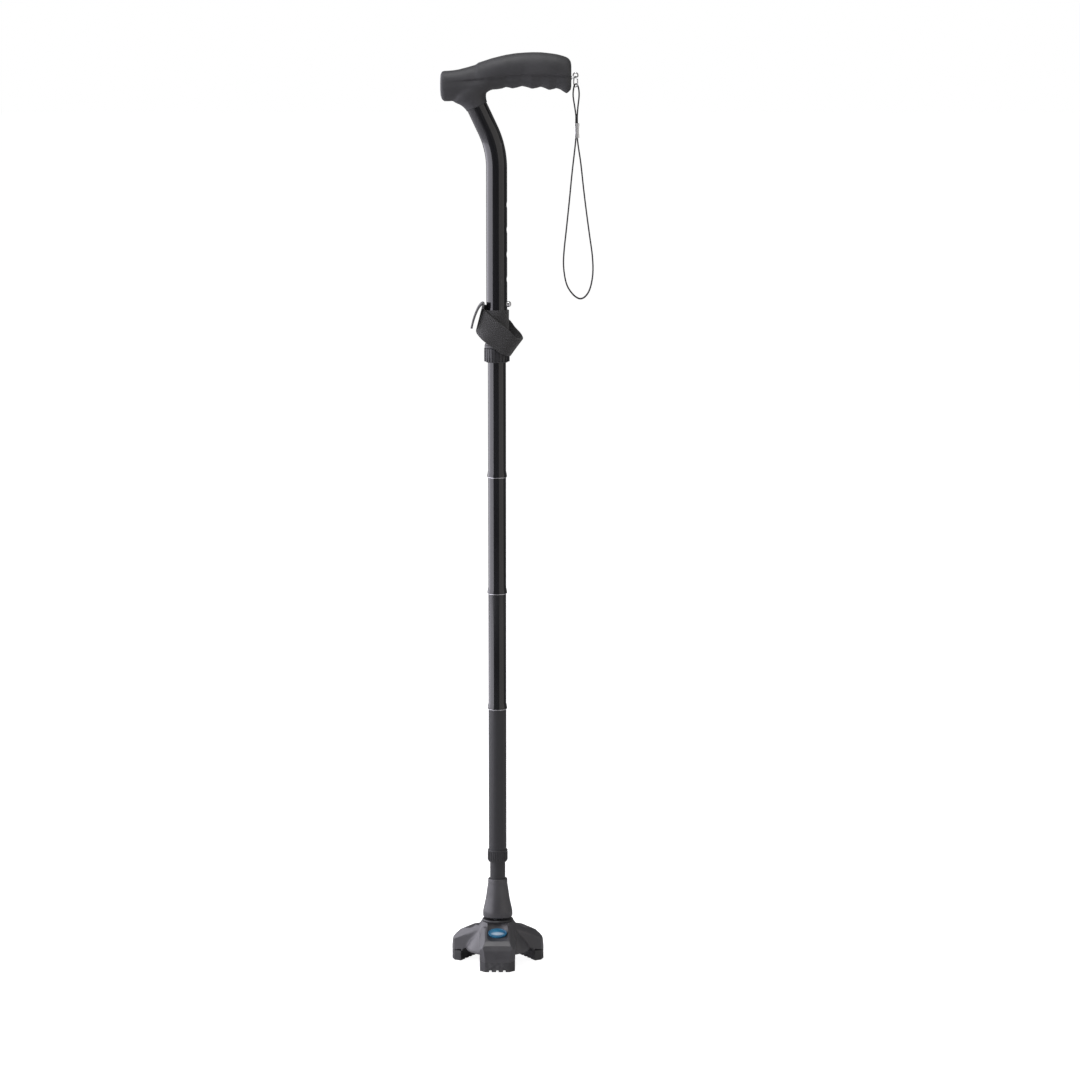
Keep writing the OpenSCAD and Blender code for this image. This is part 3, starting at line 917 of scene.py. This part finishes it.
def add_turned(bm, part, degrees):
    """Adds a part to a bmesh, turned about Z, and frees the part."""
    bmesh.ops.rotate(part, verts=part.verts, cent=(0, 0, 0),
                     matrix=Matrix.Rotation(math.radians(degrees), 3, "Z"))
    mesh = bpy.data.meshes.new("part")
    part.to_mesh(mesh)
    part.free()
    bm.from_mesh(mesh)
    bpy.data.meshes.remove(mesh)


def smoothed(piece, passes, group=""):
    """Smoothing passes over a whole mesh, or over one vertex group of it."""
    calm = piece.modifiers.new("calm", "SMOOTH")
    calm.iterations = passes
    calm.vertex_group = group
    return apply_modifiers(piece)


def remeshed(piece, voxel, passes):
    """One closed skin over everything in the mesh, smoothed a little."""
    skin = piece.modifiers.new("skin", "REMESH")
    skin.mode = "VOXEL"
    skin.voxel_size = voxel * MM
    skin.use_smooth_shade = True
    return smoothed(piece, passes)


# %% Hub
PANEL_TILT = math.radians(24)
POCKET_DEPTH = 0.9
SOCKET_BALL = 10.1
RING_SEAT = 12.8
RECESS_RADIUS = 15.2
WEB_SPREAD = 42
WEB_TOP = 41
panel_place = (Matrix.Rotation(math.radians(-90), 4, "Z")
               @ Matrix.Translation(Vector((26.5, 0, 36.2)) * MM)
               @ Matrix.Rotation(PANEL_TILT, 4, "Y"))
hub_low = node_span("foot_hub")[0]
reach = -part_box("foot_hub")[0].y / MM
leg_side = [(0, 40), (19.3, 40), (22, 38.2), (31, 34.2), (39, 30.6), (43.5, 26.8),
            (46.6, 21.6), (reach - 0.1, 14), (reach, hub_low - 1), (34.1, hub_low - 1),
            (33.9, 12.4), (31, 13.4), (25, 15.4), (16, 18.6), (0, 20)]
# the rear legs carry no panel, so their crest runs on higher and drops later
rear_side = [(0, 40), (19.3, 40), (21.5, 38), (25.5, 35.8), (30, 35.2), (35, 34.1), (39.4, 31.8),
             (43.4, 27.6), *leg_side[6:]]
bm = bmesh.new()
for angle in LEG_ANGLES:
    leg = slab(leg_side if angle == LEG_ANGLES[0] else rear_side, 2 * LEG_HALF)
    for side in (1, -1):
        plane_off(leg, (reach - 6, side * LEG_HALF, 0), (5.6, side * 6, 0))
        plane_off(leg, (30.5, side * PANEL_HALF, 34.4), (0.29, side * 0.71, 0.65))
    add_turned(bm, leg, angle)
skirt = bmesh.new()
spin_profile(skirt, [
    (ON_AXIS, 44.2), (16.4, 44.2), (16.8, 43.9), (19.3, 40.4), (22.5, 34.5), (26.5, 27.5),
    (30.5, 21.5), (33.2, 16.5), (33.4, 13.8), (31.5, 12.8), (26, 17), (18, 20), (ON_AXIS, 20)], 96)
bmesh.ops.recalc_face_normals(skirt, faces=skirt.faces)
add_turned(bm, skirt, 0)
hub = finish_piece(bm, "foot_hub_moulded", foot_rubber, "foot", ["foot_hub"])
remeshed(hub, 0.55, 4)
# the webs between the legs are melted into soft valleys
web = hub.vertex_groups.new(name="web")
for vert in hub.data.vertices:
    x, y, z = vert.co / MM
    turn = (math.degrees(math.atan2(y, x)) + 90) % 120
    from_web = abs(turn - 60)
    reach_out = math.hypot(x, y)
    if 19 < reach_out < 33.5 and 14.5 < z < WEB_TOP and from_web < WEB_SPREAD:
        weight = min(1, (WEB_SPREAD - from_web) / 12) * min(1, (WEB_TOP - z) / 4)
        web.add([vert.index], weight, "REPLACE")
smoothed(hub, MELT_PASSES, "web")

cutter = bmesh.new()
cup = [(SOCKET_BALL * math.sin(math.radians(a)),
        pivot.z - SOCKET_BALL * math.cos(math.radians(a))) for a in range(0, 91, 10)]
spin_profile(cutter, [(ON_AXIS, cup[0][1]), *cup[1:], (SOCKET_BALL, 42.4), (RING_SEAT, 42.4),
                      (RING_SEAT, 46), (ON_AXIS, 46)], 64)
cut_with(hub, loose_object(cutter, "socket"))
cutter = bmesh.new()
spin_profile(cutter, [(ON_AXIS, 22.2), (RECESS_RADIUS, 22.2), (RECESS_RADIUS, 10), (ON_AXIS, 10)],
             64)
cut_with(hub, loose_object(cutter, "recess"))
bm = bmesh.new()
outline = [(-16, -10.6), (-16, 10.6)] + [
    (7.4 + 6 * math.cos(math.radians(a)), 4.6 + 6 * math.sin(math.radians(a)))
    for a in range(90, -1, -15)]
outline += [(x, -y) for x, y in reversed(outline[2:])]
prism(bm, [(x, y, -POCKET_DEPTH) for x, y in outline], (0, 0, 6 * MM))
bmesh.ops.transform(bm, verts=bm.verts, matrix=panel_place)
bmesh.ops.recalc_face_normals(bm, faces=bm.faces)
cut_with(hub, loose_object(bm, "panel"))
shade_smooth(hub)
print("hub:", len(hub.data.polygons), "faces")

# %% Treads
# Each foot wears a separate, darker sole with three grooves across it. The sole's plan is
# the foot's own plan, stepped in by a hair so that the joint shows as a line.
GROOVES = ((-8.5, -5.9), (-1.3, 1.3), (5.9, 8.5))
GROOVE_DEPTH = 1.8
STEP_IN = 0.15
for node, angle in zip(("tread_front", "tread_back_right", "tread_back_left"), LEG_ANGLES):
    edge = LEG_HALF - STEP_IN
    plan = [(34.45, edge), (reach - 6.1, edge), (reach - STEP_IN, edge - 5.6)]
    plan = [*plan, *[(x, -y) for x, y in reversed(plan)]]
    bm = bmesh.new()
    prism(bm, [(x, y, GROOVE_DEPTH) for x, y in plan], (0, 0, (hub_low - GROOVE_DEPTH) * MM))
    for y in [side for groove in GROOVES for side in groove]:
        bmesh.ops.bisect_plane(bm, geom=everything(bm),
                               plane_co=(0, y * MM, 0), plane_no=(0, 1, 0))
    bmesh.ops.recalc_face_normals(bm, faces=bm.faces)
    ribs = [f for f in bm.faces if f.normal.z < -0.9
            and not any(a < f.calc_center_median().y / MM < b for a, b in GROOVES)]
    for rib in ribs:
        low = bmesh.ops.extrude_discrete_faces(bm, faces=[rib])["faces"][0]
        bmesh.ops.translate(bm, verts=low.verts, vec=(0, 0, -GROOVE_DEPTH * MM))
    bmesh.ops.rotate(bm, verts=bm.verts, cent=(0, 0, 0),
                     matrix=Matrix.Rotation(math.radians(angle), 3, "Z"))
    soften(finish_piece(bm, node + "_sole", tread_rubber, "foot", [node],
                        smooth=False), 0.35, 3)
print("treads done")

# %% Badge
# A plain oval plate with a raised rim and a shallow domed face, blue and unmarked.
badge_low, badge_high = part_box("badge_plate")
badge_centre = (badge_low + badge_high) / 2
bm = bmesh.new()
disc = bmesh.ops.create_circle(bm, cap_ends=True, segments=64, radius=1)["verts"]
face = disc[0].link_faces[0]
made = bmesh.ops.extrude_face_region(bm, geom=[face])["geom"]
face = [item for item in made if isinstance(item, bmesh.types.BMFace)][0]
bmesh.ops.translate(bm, verts=face.verts, vec=(0, 0, 1.9))
bmesh.ops.inset_region(bm, faces=[face], thickness=0.1, use_even_offset=False)
bmesh.ops.inset_region(bm, faces=[face], thickness=0.03, depth=0)
bmesh.ops.translate(bm, verts=face.verts, vec=(0, 0, -0.3))
for step in range(4):
    bmesh.ops.inset_region(bm, faces=[face], thickness=0.16)
    bmesh.ops.translate(bm, verts=face.verts, vec=(0, 0, 0.09 - 0.02 * step))
stretch = Matrix.Diagonal(Vector((7.4 * MM, 9.6 * MM, MM, 1)))
bmesh.ops.transform(bm, verts=bm.verts,
                    matrix=panel_place @ Matrix.Translation((0, 0, -MM)) @ stretch)
soften(finish_piece(bm, "badge_domed", badge_blue, "foot", ["badge_plate"]), 0.12, 2)
print("badge at", [round(v / MM, 1) for v in badge_centre])

# %% [markdown]
# ## The grip
# The grip is a loft: a ring of points, extruded along the handle and moved and scaled to
# each station, with the broad bulge above and the finger side below. A flared neck comes
# off it along the lean of the tube. Both are merged by a voxel remesh, and the smoothing
# makes the blend between them. The seam groove is pressed in last.

# %% Grip stations
# position along X, underside, top, share of the full half width, all in millimetres
GRIP_STATIONS = [
    (-57.2, 908.5, 921, 0.5), (-56.9, 904, 925.5, 0.66), (-55.6, 900.2, 928.2, 0.75),
    (-53.3, 898.3, 929, 0.78), (-49, 898.2, 929.2, 0.8), (-44, 898.6, 929.6, 0.81),
    (-38, 898.8, 930.6, 0.83), (-31, 899, 932.4, 0.86), (-23, 899.6, 934.7, 0.89),
    (-21, 900.6, 935.3, 0.905), (-18.8, 901.4, 937.2, 0.92), (-14.6, 903.6, 938.6, 0.94),
    (-10.6, 906.6, 939.9, 0.96), (-7, 909, 941.1, 0.97), (-4, 910, 942, 0.98),
    (1.6, 910.4, 943.4, 1), (5.7, 911.1, 944.4, 1), (9.7, 912.6, 945.3, 1),
    (13, 912, 945.8, 1), (16.3, 911.1, 946.4, 1), (21, 912.1, 947, 1),
    (26, 913.6, 947.4, 1), (31, 912.5, 947.7, 1), (36.2, 910.8, 947.9, 1),
    (41, 911.7, 947.9, 0.99), (45.3, 912.9, 947.8, 0.98), (49.5, 911.4, 947.4, 0.97),
    (53.5, 909.6, 947, 0.96), (57.5, 910.4, 946.5, 0.945), (61.1, 911.4, 945.9, 0.93),
    (65, 910.2, 945, 0.91), (68.7, 907.6, 943.9, 0.89), (71.6, 906.1, 942.8, 0.87),
    (74, 908.2, 941, 0.82), (75.6, 909.8, 938.4, 0.74), (76.2, 913, 935, 0.6),
]
grip_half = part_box("handle_grip")[1].y / MM


def grip_point(turn, station):
    """A point on the egg-shaped outline of one station."""
    x, low, top, share = station
    across, up = math.cos(turn), math.sin(turn)
    middle = low + 0.47 * (top - low)
    side = grip_half * share * math.copysign(abs(across) ** 0.82, across)
    if up < 0:
        side *= 1 - 0.3 * abs(up) ** 1.4
        height = middle - (middle - low) * abs(up) ** 0.82
    else:
        height = middle + (top - middle) * up ** 0.78
    return Vector((x, side, height)) * MM


# %% Grip mesh
GRIP_STEPS = 64
# the neck starts this far along the lean, and is round up to this radius; its flare is flatter
NECK_RIM = 46.3
NECK_ROUND = 11.5
bm = bmesh.new()
ring = bmesh.ops.create_circle(bm, segments=GRIP_STEPS, radius=1)["verts"]
bmesh.ops.contextual_create(bm, geom=ring)
loop = edges_of(ring)
turns = [math.tau * k / GRIP_STEPS for k in range(GRIP_STEPS)]
around = sorted(ring, key=lambda v: math.atan2(v.co.y, v.co.x) % math.tau)
for vert, turn in zip(around, turns):
    vert.co = grip_point(turn, GRIP_STATIONS[0])
for station in GRIP_STATIONS[1:]:
    loop, around = next_ring(bm, loop, around, [grip_point(turn, station) for turn in turns])
bmesh.ops.contextual_create(bm, geom=around)
bmesh.ops.recalc_face_normals(bm, faces=bm.faces)

neck = bmesh.new()
spin_profile(neck, [
    (ON_AXIS, NECK_RIM), (11.4, NECK_RIM), (11.45, 47.2), (11.9, 49.5), (13, 52.6), (15, 55.8),
    (17.5, 58.6), (19.5, 61.4), (19, 66), (12, 72), (ON_AXIS, 74)], 64)
for vert in neck.verts:
    wide = math.hypot(vert.co.x, vert.co.y) / MM
    if wide > NECK_ROUND:
        vert.co.y *= NECK_ROUND / wide + (1 - NECK_ROUND / wide) * 0.35
place = Matrix.Translation(BEND_POINT * MM) @ Matrix.Rotation(-LEAN, 4, "Y")
bmesh.ops.transform(neck, matrix=place, verts=neck.verts)
bmesh.ops.recalc_face_normals(neck, faces=neck.faces)
add_turned(bm, neck, 0)
grip = finish_piece(bm, "grip_moulded", soft_grip, "upper", ["handle_grip"])
remeshed(grip, 0.65, 4)

# %% Seam groove and blend
SEAM = [(-51, 918.4), (-40, 919.2), (-28, 920.2), (-15, 921.4), (0, 923), (12, 924.4),
        (24, 925.3), (40, 925.6), (58, 925.1), (77, 923.8)]
SEAM_FADE = 6


def seam_height(x):
    """Height of the seam along the side of the grip, in millimetres."""
    if x <= SEAM[0][0]:
        return SEAM[0][1]
    for (x0, z0), (x1, z1) in zip(SEAM, SEAM[1:]):
        if x <= x1:
            return z0 + (z1 - z0) * (x - x0) / (x1 - x0)
    return SEAM[-1][1]


BLEND_CENTRE = Vector((-24, 0, 902))
BLEND_RADIUS = 24
RIM_KEPT = 1.5
blend_group = grip.vertex_groups.new(name="neck blend")
for vert in grip.data.vertices:
    x, y, z = vert.co / MM
    place = Vector((x, y, z))
    away = (place - BLEND_CENTRE).length
    from_rim = (place - (BEND_POINT + NECK_DIRECTION * NECK_RIM)).dot(NECK_DIRECTION)
    if away < BLEND_RADIUS and from_rim > RIM_KEPT:
        near = min(1, (BLEND_RADIUS - away) / 10, (from_rim - RIM_KEPT) / 5)
        beside = 0.15 + 0.85 * min(1, max(0, (abs(y) - 4) / 5))
        blend_group.add([vert.index], near * beside, "REPLACE")
smoothed(grip, MELT_PASSES, "neck blend")
for vert in grip.data.vertices:
    x, y, z = vert.co / MM
    if x < -50 or abs(y) < 4:
        continue
    below = seam_height(x) - z
    ramp = min(1, (x + 50) / 25)
    if 0 < below < SEAM_FADE:
        depth = (0.9 + 0.9 * ramp) * ramp * (1 - below / SEAM_FADE)
        vert.co.y -= math.copysign(depth * MM, y)
smoothed(grip, 2)
shade_smooth(grip)
print("grip:", len(grip.data.polygons), "faces")

# %% [markdown]
# ## Eye, split ring, crimp and ribbon
# The wire parts are a small circle spun round: once for the screw eye, and almost twice,
# with a little pitch, for the split ring.

# %% Screw eye and split ring
def wire_circle(bm, radius, centre, steps=12):
    """A small circle of wire in the XZ plane."""
    turn = Matrix.Translation(Vector(centre) * MM) @ Matrix.Rotation(math.pi / 2, 4, "X")
    return bmesh.ops.create_circle(bm, segments=steps, radius=radius * MM, matrix=turn)["verts"]


eye_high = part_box("strap_eyelet")[1] / MM
EYE_WIRE = 0.7
EYE_RADIUS = 2.4
eye_centre = Vector((eye_high.x - EYE_WIRE - EYE_RADIUS, 0, eye_high.z - EYE_WIRE - EYE_RADIUS))
bm = bmesh.new()
ring = wire_circle(bm, EYE_WIRE, (EYE_RADIUS, 0, 0))
bmesh.ops.spin(bm, geom=[*ring, *edges_of(ring)], cent=(0, 0, 0),
               axis=(0, 0, 1), angle=math.radians(345), steps=48, use_merge=False,
               use_duplicate=False)
bmesh.ops.holes_fill(bm, edges=[e for e in bm.edges if e.is_boundary])
bmesh.ops.rotate(bm, verts=bm.verts, cent=(0, 0, 0), matrix=Matrix.Rotation(math.pi / 2, 3, "X"))
bmesh.ops.rotate(bm, verts=bm.verts, cent=(0, 0, 0),
                 matrix=Matrix.Rotation(math.radians(-215), 3, "Y"))
bmesh.ops.translate(bm, verts=bm.verts, vec=eye_centre * MM)
place = Matrix.Rotation(math.pi / 2, 4, "Y")
bmesh.ops.create_cone(bm, cap_ends=True, segments=24, radius1=1.1 * MM, radius2=0.75 * MM,
                      depth=19 * MM, matrix=Matrix.Translation(Vector((69, 0, 922)) * MM) @ place)
bmesh.ops.create_cone(bm, cap_ends=True, segments=32, radius1=2.2 * MM, radius2=1.7 * MM,
                      depth=0.9 * MM,
                      matrix=Matrix.Translation(Vector((76.5, 0, 922)) * MM) @ place)
soften(finish_piece(bm, "screw_eye", bright_steel, "upper", ["strap_eyelet"]),
       0.1, 2, 50)

ring_low, ring_high = (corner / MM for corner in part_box("split_ring"))
ring_centre = (ring_low + ring_high) / 2
WIRE = 0.42
RING_RADIUS = 5.4
RING_STEPS = 160
bm = bmesh.new()
loop = wire_circle(bm, WIRE, (RING_RADIUS, 0, -WIRE))
bmesh.ops.spin(bm, geom=[*loop, *edges_of(loop)], cent=(0, 0, 0),
               axis=(0, 0, 1), dvec=(0, 0, 2 * WIRE * MM / RING_STEPS),
               angle=math.radians(700), steps=RING_STEPS, use_merge=False,
               use_duplicate=False)
bmesh.ops.holes_fill(bm, edges=[e for e in bm.edges if e.is_boundary])
turn = Matrix.Rotation(math.radians(20), 4, "Z") @ Matrix.Rotation(math.pi / 2, 4, "Y")
bmesh.ops.transform(bm, matrix=Matrix.Translation(ring_centre * MM) @ turn, verts=bm.verts)
split_ring = finish_piece(bm, "split_ring_wound", bright_steel, "wrist_ring",
                          ["split_ring"])
print("eye at", [round(v, 1) for v in eye_centre], "ring at", [round(v, 1) for v in ring_centre])

# %% Crimp
crimp_low, crimp_high = (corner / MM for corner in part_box("strap_crimp"))
crimp_centre = (crimp_low + crimp_high) / 2
bm = bmesh.new()
bmesh.ops.create_cube(bm, size=1, matrix=Matrix.Translation(crimp_centre * MM) @ Matrix.Diagonal(
    Vector((*[(b - a) * MM for a, b in zip(crimp_low, crimp_high)], 1))))
caps = [f for f in bm.faces if abs(f.normal.z) > 0.9]
bmesh.ops.delete(bm, geom=caps, context="FACES_ONLY")
upright = [e for e in bm.edges if abs(e.verts[0].co.z - e.verts[1].co.z) > 5 * MM]
bmesh.ops.bevel(bm, geom=upright, affect="EDGES", offset=1.6 * MM, segments=6, profile=0.5,
                material=-1)
for height in (-5, -2.4, 2.4, 5):
    bmesh.ops.bisect_plane(bm, geom=everything(bm),
                           plane_co=(0, 0, (crimp_centre.z + height) * MM), plane_no=(0, 0, 1))
for vert in bm.verts:
    if abs(vert.co.z / MM - crimp_centre.z) < 3:
        vert.co.x += (crimp_centre.x * MM - vert.co.x) * 0.12
crimp = finish_piece(bm, "crimp_pressed", crimp_metal, "wrist_loop",
                     ["strap_crimp"])
soften(add_wall(crimp, 0.6, -1), 0.12, 2, 40)

# %% Ribbon
RIBBON_WIDE, RIBBON_THICK = 4.0, 1.5


def carried(line, wide, thick, side, rounding=0.35):
    """A flat cross-section carried along a line; U runs across and V along, in mm."""
    bm = bmesh.new()
    half, deep = wide / 2, thick / 2
    corner = min(rounding, deep * 0.95)
    outline = [(half, -deep + corner), (half, deep - corner), (half - corner, deep),
               (corner - half, deep), (-half, deep - corner), (-half, corner - deep),
               (corner - half, -deep), (half - corner, -deep)]
    uv = bm.loops.layers.uv.new("UVMap")
    along, before, runs = 0.0, None, []
    for index, point in enumerate(line):
        ahead = line[min(index + 1, len(line) - 1)] - line[max(index - 1, 0)]
        up = ahead.normalized().cross(side).normalized()
        along += (point - before).length / MM if before else 0
        before = point
        runs.append((along, [point + (side * u + up * w) * MM for u, w in outline]))
    row = [bm.verts.new(p) for p in runs[0][1]]
    edges = [bm.edges.new((a, b)) for a, b in zip(row, [*row[1:], row[0]])]
    bmesh.ops.contextual_create(bm, geom=row)
    for _, places in runs[1:]:
        edges, row = next_ring(bm, edges, row, places)
    bmesh.ops.contextual_create(bm, geom=row)
    lengths = [run for run, _ in runs]
    middles = [sum(places, Vector()) / len(places) for _, places in runs]
    for face in bm.faces:
        for corner_loop in face.loops:
            co = corner_loop.vert.co
            nearest = min(range(len(middles)), key=lambda k: (middles[k] - co).length_squared)
            corner_loop[uv].uv = ((co - middles[nearest]).dot(side) / MM, lengths[nearest])
    return bm


bm = carried(strap_line, RIBBON_WIDE, RIBBON_THICK, Vector((0, 1, 0)))
wrist_ribbon = finish_piece(bm, "wrist_ribbon", ribbon, "wrist_loop",
                            ["wrist_strap"])

# %% [markdown]
# ## The hook-and-loop strap
# A band holds to the tube, and the belt that goes round the folded cane is closed on
# itself and leans across the shaft. Its free end, hook side out, stands away at the left.

# %% Strap paths
STRAP_Z = 660
STRAP_LEAN = math.radians(34.9)
BACK_RISE = 0.3
BELT_RADIUS = 14.8
BELT_LEFT, BELT_RIGHT = -3.6, 9.3
BELT_HALF = 12.5
BAND_RADIUS = 11.0
# the belt's left end is sheared to an upright edge, and its right end dips a little
END_RAMP = 10
LEFT_SHEAR, LEFT_SHIFT = 0.37, 2.7
RIGHT_FROM, RIGHT_DIP, RIGHT_SHIFT = 6, 0.14, 0.7
lean_turn = Matrix.Translation((0, 0, STRAP_Z * MM)) @ Matrix.Rotation(STRAP_LEAN, 4, "Y")
rise = Matrix.Identity(4)
rise[2][1], rise[2][3] = BACK_RISE, BACK_RISE * BELT_RADIUS * MM
belt_place = rise @ lean_turn


def belt_path(radius, left, right, steps):
    """Points round two posts, in the belt's own plane."""
    points = []
    for centre, start in ((right, -90), (left, 90)):
        for k in range(steps + 1):
            turn = math.radians(start + 180 * k / steps)
            points.append((centre + radius * math.cos(turn), radius * math.sin(turn)))
    return points


def closed_tape(points, low, high, rows, thick, name, material, place, swell=0.0,
                slant_from=None):
    """A closed loop of tape as a walled sheet; U runs across and V along, in mm."""
    bm = bmesh.new()
    _, tape = wire_loop(bm, [(x, y, low) for x, y in points])
    for _ in range(rows):
        tape = pull(bm, tape, Vector((0, 0, (high - low) / rows * MM)))
    uv = bm.loops.layers.uv.new("UVMap")
    bm.verts.ensure_lookup_table()
    runs, total = {}, 0.0
    for a, b in zip(points, [*points[1:], points[0]]):
        runs[(round(a[0], 3), round(a[1], 3))] = total
        total += math.hypot(b[0] - a[0], b[1] - a[1])
    for face in bm.faces:
        values = [runs[(round(c.vert.co.x / MM, 3), round(c.vert.co.y / MM, 3))]
                  for c in face.loops]
        wrap = max(values) - min(values) > total / 2
        for corner, value in zip(face.loops, values):
            corner[uv].uv = (corner.vert.co.z / MM,
                             value + total if wrap and value < total / 2 else value)
    for vert in bm.verts:
        if slant_from is not None:
            left_by = min(1, max(0, (slant_from - vert.co.x / MM) / END_RAMP))
            vert.co.x -= left_by * (LEFT_SHEAR * (vert.co.z - low * MM) - LEFT_SHIFT * MM)
            right_by = min(1, max(0, (vert.co.x / MM - RIGHT_FROM) / END_RAMP))
            vert.co.z -= RIGHT_DIP * right_by * (vert.co.z - low * MM)
            vert.co.x += RIGHT_SHIFT * right_by * MM
        t = (vert.co.z / MM - low) / (high - low)
        wave = swell * math.sin(vert.co.x / MM * 0.22 + t * 2.2) * (0.5 + t)
        flat = Vector((vert.co.x, vert.co.y, 0))
        vert.co += flat.normalized() * wave * MM
    bmesh.ops.transform(bm, matrix=place, verts=bm.verts)
    return add_wall(finish_piece(bm, name, material, "upper"), thick, 1), total


# %% Band and belt
band_points = [(BAND_RADIUS * math.cos(math.tau * k / 64),
                BAND_RADIUS * math.sin(math.tau * k / 64)) for k in range(64)]
band, _ = closed_tape(band_points, 664.6, 685.4, 12, 1.5, "strap_band", webbing,
                      Matrix.Identity(4))
soften(band, 0.3, 2)
belt_points = belt_path(BELT_RADIUS, BELT_LEFT, BELT_RIGHT, 24)
belt, belt_round = closed_tape(belt_points, -BELT_HALF, BELT_HALF, 14, 1.7, "strap_belt",
                               webbing, belt_place, 0.35, BELT_LEFT)
soften(belt, 0.4, 2)
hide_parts("fold_strap")
tab_line = [belt_place @ (point * MM) for point in catmull([Vector((x, 0, z)) for x, z in (
    (-25.2, 10.6), (-26, 13.2), (-27.3, 14.5), (-28.6, 13), (-28.8, 8), (-27.5, 1),
    (-25.4, -6), (-22.8, -12.7))], 4)]
bm = carried(tab_line, 24, 2.2, Vector((0, 1, 0)), 0.6)
hook_tab = finish_piece(bm, "strap_free_end", hook_tape, "upper",
                        ["strap_hook_tab"])
print("strap belt:", round(belt_round), "mm round, 25 mm wide")

# %% Snap button
button_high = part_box("snap_button")[1].x / MM
bm = bmesh.new()
spin_profile(bm, [
    (ON_AXIS, button_high), (1.0, button_high - 0.12), (1.9, button_high - 0.5),
    (2.6, button_high - 1.2), (2.95, button_high - 2), (3, button_high - 2.8), (3, 6.4),
    (4.4, 6.4), (4.4, 5.6), (ON_AXIS, 5.6)], 48)
bmesh.ops.rotate(bm, verts=bm.verts, cent=(0, 0, 0), matrix=Matrix.Rotation(math.pi / 2, 3, "Y"))
bmesh.ops.translate(bm, verts=bm.verts, vec=(0, 0, button_z * MM))
finish_piece(bm, "snap_button_domed", bright_steel, "button", ["snap_button"])

# %% Snap spring
# The hairpin's pressed leg lies under the button; the other leg lies against the far side of the
# tube.
leg_line = [Vector((x, 0, button_z + z)) * MM for x, z in (
    (5.1, 6), (5.1, 0), (5.1, -5.8), (4.4, -11), (3.7, -16), (3, -21), (2.3, -26), (1.6, -31),
    (0.9, -36), (0.5, -37.2), (0, -37.4), (-0.5, -37.2), (-0.9, -36), (-2.3, -26), (-3.6, -16),
    (-5, -5), (-6.3, 6))]
bm = carried(leg_line, 6, 0.55, Vector((0, 1, 0)), 0.12)
hairpin = finish_piece(bm, "snap_spring_bent", spring_steel, "section_1",
                       ["snap_spring"])
hairpin.parent = None
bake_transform(hairpin)

# %% [markdown]
# ## What stays as it is
# The parts inside the tubes and under the foot keep the shape they have in the frame and
# only get a finish, for the poses in which the cane is folded or turned over.

# %% Finishes for the remaining nodes
INSIDE = {
    "handle_core": black_plastic, "handle_pin": bright_steel, "upper_collet": white_plastic,
    "cord_anchor_top": white_plastic,
    "cord_anchor_bottom": white_plastic, "lower_collet": white_plastic,
    "stem_bush": white_plastic, "ball_stud": bright_steel, "stud_clip": spring_steel,
    "ball_liner": white_plastic, "hub_cover": black_plastic, "cover_screws": bright_steel,
}
for node, material in INSIDE.items():
    mesh = bpy.data.objects[node].data
    mesh.materials.clear()
    mesh.materials.append(material)
print("finished", len(INSIDE), "inner nodes")
